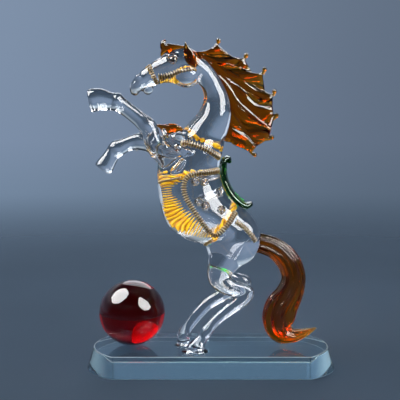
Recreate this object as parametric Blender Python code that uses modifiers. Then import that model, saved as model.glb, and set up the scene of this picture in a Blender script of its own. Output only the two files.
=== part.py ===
"""Rearing horse of flame-worked glass on a clear glass base, with a ruby glass ball beside it.

The origin lies under the middle of the base, +Z is up, and the horse faces -X. The base, the ball
and the joining gaps have sizes of their own. The horse is a free form: its pose and its carving
are given in hundredths of its own height, measured from the top of the base.
"""
import math

import bmesh
import bpy
from mathutils import Vector
from mathutils.bvhtree import BVHTree

# Base: long sides straight and upright, both ends an arc whose face leans out towards the floor
BASE_STRAIGHT = 0.148
BASE_DEPTH = 0.080
BASE_THICKNESS = 0.017
BASE_END_BULGE = 0.016
BASE_END_FLARE = 0.0055
BASE_ARRIS = 0.0008
ARC_STEPS = 12

# Ball
BALL_DIAMETER = 0.0505
BALL_INSET = 0.0135
BALL_SEAT_DEPTH = 0.0004
BALL_SEGMENTS = 20
BALL_RINGS = 12

# Horse
HORSE_HEIGHT = 0.2325
HORSE_FORWARD = 0.012
UNIT = HORSE_HEIGHT / 100.0
JOIN_GAP = 0.0003

# Glass threads of the harness, their width across and height above the glass
COLLAR_THREAD = (0.0046, 0.0022)
CLOTH_THREAD = (0.0040, 0.0020)
GIRTH_THREAD = (0.0020, 0.0014)
CRUPPER_THREAD = (0.0040, 0.0020)
NOSEBAND_THREAD = (0.0030, 0.0016)
CHEEK_THREAD = (0.0064, 0.0016)
THREAD_SIDES = 6
BEAD_SIDES = 8
BEAD_RINGS = 4
PRUNT_DIAMETER = 0.0056
PRUNT_HEIGHT = 0.0012
EYE_DIAMETER = 0.0062

# Fineness of the fused glass forms
BODY_VOXEL = 0.0013
BODY_TRIANGLES = 3020
MANE_VOXEL = 0.0009
MANE_TRIANGLES = 1080
EAR_VOXEL = 0.0006
EAR_TRIANGLES = 84

# Trunk, neck and head in one run from the rump to the muzzle.
# Each row: underside x and z, topline x and z, half width
BODY = (
    (2.4, 27.6, 12.4, 29.4, 4.6),
    (-0.3, 29.4, 15.0, 32.1, 7.5),
    (-1.3, 32.4, 16.3, 36.0, 9.0),
    (-2.3, 34.2, 14.8, 40.9, 9.7),
    (-6.8, 35.5, 11.9, 44.9, 10.3),
    (-12.6, 39.2, 8.4, 47.7, 10.9),
    (-15.5, 43.8, 5.8, 50.0, 11.0),
    (-16.7, 49.3, 3.7, 54.2, 10.7),
    (-17.3, 54.8, 2.7, 59.0, 10.3),
    (-17.2, 60.0, 3.3, 62.5, 9.7),
    (-16.4, 64.2, 4.0, 65.7, 8.8),
    (-14.2, 68.2, 4.6, 68.9, 7.5),
    (-9.5, 71.1, 5.4, 71.3, 6.7),
    (-6.6, 74.1, 6.2, 74.4, 6.0),
    (-3.9, 77.1, 6.5, 77.4, 5.2),
    (-2.4, 81.1, 5.8, 81.4, 4.3),
    (-2.8, 84.1, 4.3, 84.7, 3.9),
    (-3.9, 85.7, 1.8, 89.3, 3.7),
    (-4.5, 86.0, -1.2, 93.1, 3.8),
    (-5.8, 85.2, -4.2, 95.8, 4.0),
    (-7.6, 84.6, -7.2, 97.1, 4.2),
    (-9.5, 84.9, -10.4, 97.1, 4.2),
    (-11.9, 86.0, -13.8, 95.6, 3.9),
    (-14.4, 86.2, -16.3, 94.2, 3.4),
    (-17.0, 85.7, -19.5, 92.3, 2.9),
    (-18.6, 84.9, -21.7, 90.5, 2.7),
    (-20.7, 84.5, -23.8, 88.6, 2.8),
    (-22.4, 83.6, -25.4, 86.6, 2.6),
    (-23.8, 82.9, -26.1, 84.6, 1.8),
)

# Rounded masses melted into the body: x, y, z and half sizes along x, y and z.
# Those off the mid-plane stand on both sides of it
MASSES = (
    (-10.5, 5.2, 64.0, 6.0, 3.4, 6.8),
    (7.2, 5.0, 36.0, 8.2, 4.6, 8.4),
    (-7.9, 3.0, 88.6, 3.4, 2.2, 3.2),
    (-12.6, 3.4, 94.6, 2.0, 0.9, 0.9),
    (-23.2, 2.1, 88.0, 1.2, 0.8, 1.0),
    (-24.4, 0.0, 83.4, 1.5, 1.9, 1.3),
    (-19.4, 0.0, 83.9, 1.5, 1.6, 1.6),
)

# Legs. Each row: x, y, z, half width in the horse's plane, half width across it
NEAR_FORELEG = (
    (-8.6, -3.8, 60.9, 6.0, 4.2),
    (-12.4, -4.4, 63.1, 5.2, 3.8),
    (-16.2, -4.8, 65.0, 3.6, 3.2),
    (-18.3, -5.0, 67.6, 3.0, 2.7),
    (-19.5, -5.0, 71.0, 2.8, 2.6),
    (-20.3, -5.0, 72.6, 2.9, 2.7),
    (-22.5, -5.0, 74.6, 2.5, 2.3),
    (-26.2, -5.0, 77.5, 2.4, 2.2),
    (-29.0, -5.0, 79.5, 2.6, 2.4),
    (-30.0, -5.0, 80.1, 3.2, 3.0),
    (-31.0, -5.0, 80.4, 2.7, 2.5),
    (-32.8, -5.0, 80.5, 3.1, 2.8),
    (-35.4, -5.0, 81.0, 3.5, 3.1),
    (-38.2, -5.0, 80.5, 3.8, 3.4),
)
FAR_FORELEG = (
    (-8.8, 3.8, 61.3, 5.6, 4.0),
    (-14.0, 4.4, 64.5, 4.2, 3.6),
    (-19.8, 4.8, 66.8, 3.1, 2.8),
    (-23.1, 4.8, 67.3, 2.9, 2.6),
    (-26.0, 4.8, 66.8, 2.4, 2.2),
    (-28.9, 4.8, 65.7, 2.5, 2.3),
    (-30.6, 4.8, 64.9, 2.9, 2.7),
    (-31.9, 4.8, 63.6, 2.5, 2.3),
    (-33.0, 4.8, 61.8, 2.6, 2.4),
    (-34.2, 4.8, 60.0, 2.9, 2.7),
    (-35.2, 4.8, 58.4, 3.1, 2.9),
)
NEAR_HIND_LEG = (
    (7.6, -4.2, 36.0, 8.0, 4.6),
    (4.6, -4.6, 30.5, 5.6, 4.2),
    (2.7, -4.8, 26.0, 4.1, 3.6),
    (3.0, -4.8, 23.2, 3.4, 3.0),
    (6.0, -4.8, 21.0, 2.8, 2.5),
    (9.6, -4.8, 20.2, 2.4, 2.2),
    (11.6, -4.8, 19.3, 2.3, 2.1),
    (10.2, -4.8, 17.1, 2.3, 2.0),
    (6.7, -4.8, 14.6, 2.1, 2.0),
    (2.9, -4.8, 11.5, 1.9, 1.9),
    (0.0, -4.8, 8.7, 1.8, 1.8),
    (-1.6, -4.8, 6.6, 2.0, 2.0),
    (-2.8, -4.8, 4.6, 1.8, 1.8),
    (-4.3, -4.8, 2.4, 2.4, 2.2),
    (-5.7, -4.8, 0.4, 2.9, 2.6),
)
FAR_HIND_LEG = (
    (7.0, 4.2, 36.0, 7.8, 4.6),
    (4.4, 4.6, 29.8, 4.8, 4.0),
    (3.6, 4.8, 25.4, 3.8, 3.3),
    (7.0, 4.8, 22.2, 2.6, 2.5),
    (11.0, 4.8, 21.2, 2.3, 2.2),
    (9.7, 4.8, 19.4, 2.3, 2.1),
    (4.7, 4.8, 17.2, 2.2, 2.0),
    (-0.9, 4.8, 13.9, 2.1, 2.0),
    (-5.2, 4.8, 9.4, 2.0, 1.9),
    (-7.9, 4.8, 5.7, 1.9, 1.8),
    (-9.0, 4.8, 3.5, 2.2, 2.1),
    (-9.0, 4.8, 1.8, 2.1, 2.0),
    (-8.8, 4.8, 0.2, 2.6, 2.4),
)
# Melted glass that holds the hind hooves: x, y, half length, half width, height
FOOT_PUDDLES = ((-5.2, -4.8, 4.6, 3.6, 1.1), (-8.4, 4.6, 4.0, 3.4, 0.9))

# Mane: its root along the crest, and its edge, where every second point is a hooked tip
CREST = ((-6.8, 96.6), (-3.9, 95.2), (-1.2, 92.6), (1.5, 89.4), (4.1, 85.0), (5.6, 81.2),
         (6.2, 77.3), (5.9, 73.7), (5.2, 70.9), (4.2, 68.0))
MANE_EDGE = ((-1.0, 96.6), (2.5, 99.2), (6.9, 94.4), (11.3, 94.6), (13.3, 89.3), (17.1, 90.0),
             (17.3, 83.6), (20.3, 83.1), (19.8, 78.8), (21.0, 75.4), (19.2, 71.1), (19.4, 68.4),
             (14.6, 65.8), (13.5, 63.2), (6.8, 66.6))
TIP_HEADINGS = (50.0, 28.0, 35.0, 40.0, -5.0, -35.0, -55.0)
VALLEY_HEADINGS = (10.0, -12.0, -28.0, -32.0, -36.0, -42.0, -52.0, -62.0)
ROOT_HEADING = -50.0
STRAND_STATIONS = 7
MANE_THICKNESS_SHARE = (1.15, 0.8)
MANE_WAVE_SHARE = 0.9
STRAND_WIDTH_SHARE = (0.95, 1.55)
TIP_WIDTH_SHARE = 0.8
EDGE_DRAW_IN_SHARE = 0.8

# Forelock, ears, chest plume: rows of x, y, z, half width, half thickness
FORELOCK = (
    (-8.6, 0.0, 97.4, 0.5, 0.9),
    (-11.0, 0.0, 97.6, 0.8, 1.1),
    (-13.4, 0.0, 97.2, 1.6, 1.3),
    (-14.9, 0.0, 97.4, 1.3, 1.1),
    (-15.3, 0.0, 98.8, 0.8, 0.8),
    (-14.6, 0.0, 99.6, 0.35, 0.4),
)
FORELOCK_FRINGE = (
    (-13.6, 0.0, 97.2, 1.4, 1.2),
    (-15.2, 0.0, 96.2, 0.9, 1.0),
    (-15.9, 0.0, 94.9, 0.35, 0.6),
)
EAR = (
    (-5.3, 3.4, 91.6, 0.9, 0.8),
    (-6.2, 3.8, 93.2, 1.7, 0.9),
    (-7.0, 4.3, 95.0, 1.7, 0.8),
    (-7.7, 4.8, 96.8, 1.1, 0.6),
    (-8.1, 5.2, 98.5, 0.3, 0.3),
)
CHEST_PLUME = (
    (-9.7, 0.0, 71.6, 0.7, 0.9),
    (-12.0, 0.0, 71.9, 1.5, 1.2),
    (-14.4, 0.0, 71.6, 1.6, 1.1),
    (-16.2, 0.0, 72.4, 0.7, 0.8),
    (-17.8, 0.0, 72.7, 0.25, 0.3),
)

# Tail: x, y, z, half width in the horse's plane, half width across
TAIL = (
    (13.4, 0.4, 34.8, 2.4, 2.3),
    (16.7, 0.7, 34.3, 2.8, 2.7),
    (20.6, 1.1, 32.8, 3.0, 2.9),
    (24.0, 1.5, 30.0, 3.3, 3.0),
    (26.2, 1.8, 26.4, 3.4, 3.1),
    (27.0, 2.1, 22.1, 3.5, 3.1),
    (25.6, 2.4, 17.5, 4.0, 3.2),
    (23.0, 2.6, 12.8, 4.9, 3.4),
    (22.2, 2.6, 8.6, 4.9, 3.4),
    (23.4, 2.6, 5.0, 3.8, 3.0),
    (26.6, 2.5, 3.7, 2.2, 2.3),
    (29.8, 2.4, 4.3, 1.5, 1.6),
    (32.6, 2.3, 5.4, 0.8, 0.9),
    (34.4, 2.3, 6.2, 0.25, 0.3),
)
TAIL_SIDES = 16
TAIL_RIDGES = 4
TAIL_RIDGE_DEPTH = 0.09
TAIL_TWIST = 1.6

# Saddle: an arched strap over the back with both ends turned up. x, z, half thickness, half width
SADDLE = (
    (5.9, 61.0, 0.7, 2.6),
    (5.6, 62.0, 0.9, 3.2),
    (4.6, 62.0, 1.0, 3.8),
    (4.0, 60.4, 1.2, 4.3),
    (3.9, 57.6, 1.3, 4.6),
    (4.6, 54.4, 1.3, 4.7),
    (6.3, 51.0, 1.3, 4.8),
    (8.9, 48.3, 1.4, 4.7),
    (11.1, 47.0, 1.3, 4.2),
    (12.8, 47.5, 0.9, 3.4),
)

# Side views of the harness threads, the same on both flanks but for the cloth's edge, which is
# drawn fuller towards the belly on the right
COLLAR_PATH = ((-9.3, 67.4), (-7.2, 67.2), (-4.8, 66.6), (-2.0, 65.5), (0.6, 64.0), (2.2, 62.8))
CLOTH_PATH_LEFT = ((1.9, 58.5), (-0.1, 58.3), (-3.3, 58.1), (-5.8, 57.7), (-7.5, 56.8),
                   (-8.5, 55.0), (-8.5, 52.5), (-7.7, 50.0), (-6.1, 47.3), (-4.0, 44.2),
                   (-2.0, 41.4), (-0.2, 39.3), (1.5, 38.6), (3.5, 40.1), (5.6, 42.6), (7.4, 45.2))
CLOTH_PATH_RIGHT = ((1.9, 57.7), (-0.1, 57.4), (-3.2, 57.2), (-5.3, 57.0), (-7.0, 56.2),
                    (-8.4, 55.0), (-9.3, 53.4), (-9.4, 51.8), (-9.0, 50.1), (-8.3, 48.3), (-7.2, 45.7),
                    (-5.5, 43.4), (-3.1, 41.5), (-0.8, 40.1), (1.6, 39.5), (4.4, 41.2), (7.4, 45.2))
FRONT_GIRTH_PATH = ((-9.6, 56.7), (-11.1, 56.3), (-13.0, 55.8), (-15.2, 55.2), (-16.4, 54.8))
REAR_GIRTH_PATH = ((0.1, 36.9), (-0.7, 36.2), (-1.4, 35.6), (-2.0, 35.0))
CRUPPER_PATH = ((8.0, 42.4), (9.5, 41.4), (11.2, 39.9), (12.8, 38.0))
NOSEBAND_PATH = ((-19.6, 91.4), (-18.9, 89.6), (-18.0, 87.7), (-17.3, 86.3))
CHEEK_PATH = ((-16.4, 87.8), (-15.0, 88.0), (-12.8, 88.6), (-10.8, 89.5), (-8.4, 90.0), (-5.6, 90.2))
CHEEK_TAPER = 0.28
PRUNTS_LEFT = ((-5.0, 55.5), (-2.2, 55.2), (2.4, 51.7), (-4.0, 49.1), (-1.8, 47.9), (3.2, 46.4))
PRUNTS_RIGHT = ((-5.0, 54.6), (-2.2, 54.3), (2.4, 50.8), (-4.0, 48.2), (-1.8, 47.0), (3.2, 45.5))
COLLAR_DROP = (-10.6, 66.0)
EYE_PLACE = (-12.1, 93.3)

SPLINE_STEPS = 3
LIMB_SIDES = 16
CAP_STEPS = 3
SEARCH_REACH = 25.0


def clear_scene():
    """Removes every object that is in the file when the script starts."""
    for old in list(bpy.data.objects):
        bpy.data.objects.remove(old, do_unlink=True)


def make_collections():
    """Returns the collection of the object's pieces and the one of its hidden cutters."""
    pieces = bpy.data.collections.new("crystal_horse_figurine")
    cutters = bpy.data.collections.new("cutters")
    bpy.context.scene.collection.children.link(pieces)
    bpy.context.scene.collection.children.link(cutters)
    return pieces, cutters


def glass(name, colour, roughness=0.03, transmission=1.0):
    """A Principled glass or enamel of one colour."""
    material = bpy.data.materials.new(name)
    material.use_nodes = True
    shader = material.node_tree.nodes["Principled BSDF"]
    shader.inputs["Base Color"].default_value = (*colour, 1.0)
    shader.inputs["Roughness"].default_value = roughness
    shader.inputs["Metallic"].default_value = 0.0
    shader.inputs["Transmission Weight"].default_value = transmission
    shader.inputs["IOR"].default_value = 1.5
    return material


def at(x, y, z):
    """A point given in hundredths of the horse's height, from its own middle and the base's top."""
    return Vector((x * UNIT, y * UNIT - HORSE_FORWARD, z * UNIT + BASE_THICKNESS))


def spline(stations, steps=SPLINE_STEPS):
    """Rows of numbers with further rows between them, on a Catmull-Rom curve."""
    rows = (stations[0], *stations, stations[-1])
    result = []
    for a, b, c, d in zip(rows, rows[1:], rows[2:], rows[3:]):
        for step in range(steps):
            t = step / steps
            result.append(tuple(
                0.5 * (2 * q + (r - p) * t + (2 * p - 5 * q + 4 * r - s) * t ** 2
                       + (3 * q - p - 3 * r + s) * t ** 3)
                for p, q, r, s in zip(a, b, c, d)))
    result.append(tuple(stations[-1]))
    return result


def ellipse(centre, across, side, sides, ridges=0, depth=0.0, turn=0.0):
    """One ring of points; ridges gives it that many lengthwise ribs."""
    ring = []
    for index in range(sides):
        angle = 2 * math.pi * index / sides
        swell = 1.0 + depth * math.cos(ridges * angle + turn)
        ring.append(centre + across * (math.cos(angle) * swell) + side * (math.sin(angle) * swell))
    return ring


def end_rings(section, inner, roundness, sides, steps):
    """Rings that close an end in a rounded cap, with the pole that ends it."""
    centre, across, side = section
    out = across.cross(side).normalized()
    if out.dot(centre - inner[0]) < 0:
        out = -out
    reach = min(across.length, side.length) * roundness
    rings = []
    for step in range(1, steps):
        angle = 0.5 * math.pi * step / steps
        shrink = math.cos(angle)
        middle = centre + out * (reach * math.sin(angle))
        rings.append(ellipse(middle, across * shrink, side * shrink, sides))
    return rings, centre + out * reach


def loft(mesh, sections, sides=LIMB_SIDES, roundness=(0.8, 0.8), caps=CAP_STEPS,
         ridges=0, depth=0.0, twist=0.0):
    """Adds a closed body through elliptical sections, each a centre and two half axes."""
    head, head_pole = end_rings(sections[0], sections[1], roundness[0], sides, caps)
    foot, foot_pole = end_rings(sections[-1], sections[-2], roundness[1], sides, caps)
    rings = list(reversed(head))
    for index, (centre, across, side) in enumerate(sections):
        turn = twist * index / len(sections)
        rings.append(ellipse(centre, across, side, sides, ridges, depth, turn))
    rings += foot
    loops = [[mesh.verts.new(point) for point in ring] for ring in rings]
    first = mesh.verts.new(head_pole)
    last = mesh.verts.new(foot_pole)
    faces = []
    for index in range(sides):
        after = (index + 1) % sides
        faces.append(mesh.faces.new((first, loops[0][after], loops[0][index])))
        faces.append(mesh.faces.new((last, loops[-1][index], loops[-1][after])))
        for upper, lower in zip(loops, loops[1:]):
            faces.append(mesh.faces.new((upper[index], upper[after], lower[after], lower[index])))
    bmesh.ops.recalc_face_normals(mesh, faces=faces)


def limb_sections(rows):
    """Sections square to a limb's run, from rows of x, y, z and two half widths."""
    centres = [at(*row[:3]) for row in rows]
    sections = []
    for index, row in enumerate(rows):
        before = centres[max(index - 1, 0)]
        after = centres[min(index + 1, len(rows) - 1)]
        run = (after - before).normalized()
        across = run.cross(Vector((0, 1, 0))).normalized()
        side = across.cross(run).normalized()
        sections.append((centres[index], across * row[3] * UNIT, side * row[4] * UNIT))
    return sections


def body_sections(rows):
    """Sections of the trunk, neck and head, from rows of underside, topline and half width."""
    sections = []
    for low_x, low_z, top_x, top_z, half in rows:
        low = at(low_x, 0, low_z)
        top = at(top_x, 0, top_z)
        sections.append(((low + top) / 2, (top - low) / 2, Vector((0, half * UNIT, 0))))
    return sections


def add_mass(mesh, place, half_sizes, sides=LIMB_SIDES):
    """Adds a rounded mass of the given half sizes."""
    made = bmesh.ops.create_uvsphere(mesh, u_segments=sides, v_segments=sides // 2, radius=1.0)
    for vert in made["verts"]:
        vert.co = Vector(component * half for component, half in zip(vert.co, half_sizes)) + place


def mirrored(rows):
    """The same rows on the other side of the horse."""
    return tuple((row[0], -row[1], *row[2:]) for row in rows)


def place_mesh(name, mesh, collection, material=None):
    """Makes an object from a bmesh."""
    data = bpy.data.meshes.new(name)
    mesh.to_mesh(data)
    mesh.free()
    piece = bpy.data.objects.new(name, data)
    collection.objects.link(piece)
    if material:
        data.materials.append(material)
    return piece


def settle(piece):
    """Turns what an object's modifiers show into its own mesh."""
    graph = bpy.context.evaluated_depsgraph_get()
    graph.update()
    fresh = bpy.data.meshes.new_from_object(piece.evaluated_get(graph))
    piece.modifiers.clear()
    piece.data = fresh


def melt(piece, voxel, passes, triangles):
    """Fuses overlapping forms into one skin, lets it flow smooth and thins its triangles."""
    fuse = piece.modifiers.new("Fuse", "REMESH")
    fuse.mode = "VOXEL"
    fuse.voxel_size = voxel
    flow = piece.modifiers.new("Flow", "SMOOTH")
    flow.factor = 0.5
    flow.iterations = passes
    settle(piece)
    count = sum(len(face.vertices) - 2 for face in piece.data.polygons)
    thin = piece.modifiers.new("Thin", "DECIMATE")
    thin.ratio = min(1.0, triangles / count)
    settle(piece)


def cut(piece, cutter):
    """Takes a hidden cutter's volume out of a piece."""
    tool = piece.modifiers.new("Cut_" + cutter.name, "BOOLEAN")
    tool.operation = "DIFFERENCE"
    tool.solver = "EXACT"
    tool.object = cutter


def hide(cutter):
    """Keeps a cutter out of view."""
    cutter.hide_render = True
    cutter.display_type = "WIRE"


def swollen(piece, collection):
    """A hidden copy of a piece, one joining gap larger all round, that seats its neighbours."""
    cutter = bpy.data.objects.new(piece.name + "_seat", piece.data.copy())
    collection.objects.link(cutter)
    grow = cutter.modifiers.new("Gap", "DISPLACE")
    grow.strength = JOIN_GAP
    grow.mid_level = 0.0
    settle(cutter)
    hide(cutter)
    return cutter


def floor_cutter(collection):
    """A hidden block that fills the base's top up to one joining gap above it."""
    mesh = bmesh.new()
    bmesh.ops.create_cube(mesh, size=1.0)
    length = BASE_STRAIGHT + 2 * BASE_END_BULGE
    height = BASE_THICKNESS + JOIN_GAP
    for vert in mesh.verts:
        vert.co = Vector((vert.co.x * length, vert.co.y * BASE_DEPTH, (vert.co.z + 0.5) * height))
    cutter = place_mesh("base_top_seat", mesh, collection)
    hide(cutter)
    return cutter


def base_outline(bulge):
    """The base's plan: two straight sides joined by arcs that stand out by the bulge."""
    half_depth = BASE_DEPTH / 2
    radius = (half_depth ** 2 + bulge ** 2) / (2 * bulge)
    sweep = math.asin(half_depth / radius)
    middle = BASE_STRAIGHT / 2 + bulge - radius
    right = []
    for step in range(ARC_STEPS + 1):
        angle = sweep * (2 * step / ARC_STEPS - 1)
        right.append((middle + radius * math.cos(angle), radius * math.sin(angle)))
    left = [(-x, -y) for x, y in right]
    return right + left


def make_base(collection, material):
    """The base plate, thicker in plan at its foot than at its top."""
    mesh = bmesh.new()
    top = [mesh.verts.new((x, y, BASE_THICKNESS)) for x, y in base_outline(BASE_END_BULGE)]
    foot_outline = base_outline(BASE_END_BULGE + BASE_END_FLARE)
    foot = [mesh.verts.new((x, y, 0.0)) for x, y in foot_outline]
    mesh.faces.new(top)
    mesh.faces.new(list(reversed(foot)))
    count = len(top)
    for index in range(count):
        after = (index + 1) % count
        mesh.faces.new((foot[index], foot[after], top[after], top[index]))
    bmesh.ops.recalc_face_normals(mesh, faces=mesh.faces)
    base = place_mesh("base", mesh, collection, material)
    arris = base.modifiers.new("Arris", "BEVEL")
    arris.width = BASE_ARRIS
    arris.segments = 1
    arris.limit_method = "ANGLE"
    arris.angle_limit = math.radians(40)
    return base


def make_ball(collection, material, floor):
    """The glass ball, ground flat where it stands on the base."""
    mesh = bmesh.new()
    made = bmesh.ops.create_uvsphere(
        mesh, u_segments=BALL_SEGMENTS, v_segments=BALL_RINGS, radius=BALL_DIAMETER / 2)
    ball_x = BALL_INSET - BASE_STRAIGHT / 2
    ball_z = BASE_THICKNESS + JOIN_GAP + BALL_DIAMETER / 2 - BALL_SEAT_DEPTH
    bmesh.ops.translate(mesh, verts=made["verts"], vec=(ball_x, 0.0, ball_z))
    ball = place_mesh("ball", mesh, collection, material)
    cut(ball, floor)
    settle(ball)
    return ball


def make_horse(collection, material, floor):
    """The clear body: trunk, neck, head and four legs melted into one."""
    mesh = bmesh.new()
    loft(mesh, body_sections(spline(BODY)), sides=24, roundness=(0.25, 0.5))
    for rows in (NEAR_FORELEG, FAR_FORELEG, NEAR_HIND_LEG, FAR_HIND_LEG):
        loft(mesh, limb_sections(spline(rows)), roundness=(0.8, 0.15))
    for x, y, z, *half_sizes in MASSES:
        for turned in {y, -y}:
            add_mass(mesh, at(x, turned, z), [half * UNIT for half in half_sizes])
    for x, y, length, width, height in FOOT_PUDDLES:
        add_mass(mesh, at(x, y, 0.0), [half * UNIT for half in (length, width, height)])
    horse = place_mesh("horse", mesh, collection, material)
    melt(horse, BODY_VOXEL, 6, BODY_TRIANGLES)
    cut(horse, floor)
    settle(horse)
    return horse


def between(pair, share):
    """The number that lies at a share of the way from the first of a pair to the second."""
    return pair[0] + (pair[1] - pair[0]) * share


def strand_rows(share):
    """Rows of one strand of the mane; share runs from 0 at the poll to 1 at the withers."""
    crest = spline(CREST)
    root_x, root_z = crest[round(share * (len(crest) - 1))]
    place = share * (len(MANE_EDGE) - 1)
    before = min(int(place), len(MANE_EDGE) - 2)
    rest = place - before
    (ax, az), (bx, bz) = MANE_EDGE[before], MANE_EDGE[before + 1]
    end_x = ax + (bx - ax) * rest
    end_z = az + (bz - az) * rest
    headings = [value for pair in zip(VALLEY_HEADINGS, TIP_HEADINGS) for value in pair]
    headings.append(VALLEY_HEADINGS[-1])
    heading = math.radians(headings[before] + (headings[before + 1] - headings[before]) * rest)
    is_tip = rest < 0.01 and before % 2 == 1
    if not is_tip:
        end_x -= EDGE_DRAW_IN_SHARE * math.cos(heading)
        end_z -= EDGE_DRAW_IN_SHARE * math.sin(heading)
    leaving = math.radians(ROOT_HEADING * min(1.0, 0.35 + share))
    reach = math.hypot(end_x - root_x, end_z - root_z) * 0.42
    control = ((root_x, root_z),
               (root_x + reach * math.cos(leaving), root_z + reach * math.sin(leaving)),
               (end_x - reach * math.cos(heading), end_z - reach * math.sin(heading)),
               (end_x, end_z))
    wave = MANE_WAVE_SHARE * math.sin(place * math.pi * 0.75)
    rows = []
    for step in range(STRAND_STATIONS):
        t = step / (STRAND_STATIONS - 1)
        weights = ((1 - t) ** 3, 3 * t * (1 - t) ** 2, 3 * t * t * (1 - t), t ** 3)
        x = sum(weight * point[0] for weight, point in zip(weights, control))
        z = sum(weight * point[1] for weight, point in zip(weights, control))
        thick = between(MANE_THICKNESS_SHARE, t)
        wide = between(STRAND_WIDTH_SHARE, math.sin(math.pi * t / 2))
        if is_tip and t > 0.7:
            wide = TIP_WIDTH_SHARE
        rows.append((x, wave * t * t, z, wide, thick))
    return rows


def make_mane(collection, material, seat):
    """The mane: strands fused side by side into a ribbed fan with seven hooked tips."""
    mesh = bmesh.new()
    count = 2 * len(MANE_EDGE) - 1
    for index in range(count):
        loft(mesh, limb_sections(spline(strand_rows(index / (count - 1)), 2)), sides=10)
    mane = place_mesh("mane", mesh, collection, material)
    melt(mane, MANE_VOXEL, 5, MANE_TRIANGLES)
    cut(mane, seat)
    settle(mane)
    return mane


def make_lock(name, runs, collection, material, seats, triangles=EAR_TRIANGLES):
    """A small pulled tuft of glass, made of one or more runs and seated on its neighbours."""
    mesh = bmesh.new()
    for rows in runs:
        loft(mesh, limb_sections(spline(rows)), sides=10)
    lock = place_mesh(name, mesh, collection, material)
    melt(lock, EAR_VOXEL, 2, triangles)
    for seat in seats:
        cut(lock, seat)
        settle(lock)
    return lock


def make_tail(collection, material, seats):
    """The tail: a ribbed and slightly twisted rope of glass that ends in a flick."""
    mesh = bmesh.new()
    rows = spline(TAIL, 2)
    loft(mesh, limb_sections(rows), sides=TAIL_SIDES, ridges=TAIL_RIDGES,
         depth=TAIL_RIDGE_DEPTH, twist=TAIL_TWIST * math.pi)
    tail = place_mesh("tail", mesh, collection, material)
    for seat in seats:
        cut(tail, seat)
    settle(tail)
    return tail


def make_saddle(collection, material, seat):
    """The saddle: a strap of glass along the back, both ends turned up."""
    mesh = bmesh.new()
    rows = [(x, 0.0, z, thick, wide) for x, z, thick, wide in SADDLE]
    loft(mesh, limb_sections(rows), sides=8)
    saddle = place_mesh("saddle", mesh, collection, material)
    cut(saddle, seat)
    settle(saddle)
    return saddle


def on_flank(tree, x, z, hand):
    """The point and outward direction of the body's flank at a place in side view."""
    outside = at(x, hand * SEARCH_REACH, z)
    hit, normal, _, _ = tree.ray_cast(outside, Vector((0, -hand, 0)))
    if hit is None:
        hit, normal, _, _ = tree.find_nearest(at(x, hand * 2.0, z))
    return hit, normal


def make_thread(name, path, size, hand, body, material, taper=1.0):
    """A flattened thread of glass laid on the flank along a side-view path."""
    collection, tree, seat = body
    width, height = size
    spots = [on_flank(tree, x, z, hand) for x, z in path]
    sections = []
    for index, (spot, normal) in enumerate(spots):
        before = spots[max(index - 1, 0)][0]
        after = spots[min(index + 1, len(spots) - 1)][0]
        run = (after - before).normalized()
        across = run.cross(normal).normalized()
        lift = across.cross(run).normalized()
        if lift.dot(normal) < 0:
            lift = -lift
        share = 1.0 + (taper - 1.0) * index / (len(spots) - 1)
        middle = spot + lift * (height * 0.25)
        sections.append((middle, across * (share * width / 2), lift * (height * 0.75)))
    mesh = bmesh.new()
    loft(mesh, sections, sides=THREAD_SIDES, roundness=(0.5, 0.5), caps=1)
    thread = place_mesh(name, mesh, collection, material)
    cut(thread, seat)
    settle(thread)
    return thread


def make_bead(name, place, diameter, height, hand, body, material):
    """A low round bead of glass pressed on the flank."""
    collection, tree, seat = body
    spot, normal = on_flank(tree, *place, hand)
    turn = Vector((0, 0, 1)).rotation_difference(normal)
    mesh = bmesh.new()
    made = bmesh.ops.create_uvsphere(
        mesh, u_segments=BEAD_SIDES, v_segments=BEAD_RINGS, radius=1.0)
    for vert in made["verts"]:
        flat = Vector((vert.co.x * diameter / 2, vert.co.y * diameter / 2, vert.co.z * height))
        vert.co = spot + turn @ flat
    bead = place_mesh(name, mesh, collection, material)
    cut(bead, seat)
    settle(bead)
    return bead


def make_harness(body, thread_glass, clear_glass, eye_glass):
    """Everything that is laid on both flanks: threads, prunts, drops and eyes."""
    flanks = ((-1, "left", CLOTH_PATH_LEFT, PRUNTS_LEFT), (1, "right", CLOTH_PATH_RIGHT, PRUNTS_RIGHT))
    for hand, word, cloth_path, prunts in flanks:
        make_thread("breast_collar_" + word, COLLAR_PATH, COLLAR_THREAD, hand, body, thread_glass)
        make_thread("saddle_cloth_trim_" + word, cloth_path, CLOTH_THREAD, hand, body, thread_glass)
        make_thread("front_girth_" + word, FRONT_GIRTH_PATH, GIRTH_THREAD, hand, body, thread_glass)
        make_thread("rear_girth_" + word, REAR_GIRTH_PATH, GIRTH_THREAD, hand, body, thread_glass)
        make_thread("crupper_" + word, CRUPPER_PATH, CRUPPER_THREAD, hand, body, thread_glass)
        make_thread("noseband_" + word, NOSEBAND_PATH, NOSEBAND_THREAD, hand, body, thread_glass)
        make_thread("cheek_strap_" + word, CHEEK_PATH, CHEEK_THREAD, hand, body, thread_glass,
                    CHEEK_TAPER)
        make_bead("collar_drop_" + word, COLLAR_DROP, PRUNT_DIAMETER, PRUNT_HEIGHT * 1.6,
                  hand, body, clear_glass)
        make_bead("eye_" + word, EYE_PLACE, EYE_DIAMETER, PRUNT_HEIGHT * 1.5,
                  hand, body, eye_glass)
        for number, place in enumerate(prunts, start=1):
            make_bead(f"prunt_{word}_{number}", place, PRUNT_DIAMETER, PRUNT_HEIGHT,
                      hand, body, clear_glass)


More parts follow.
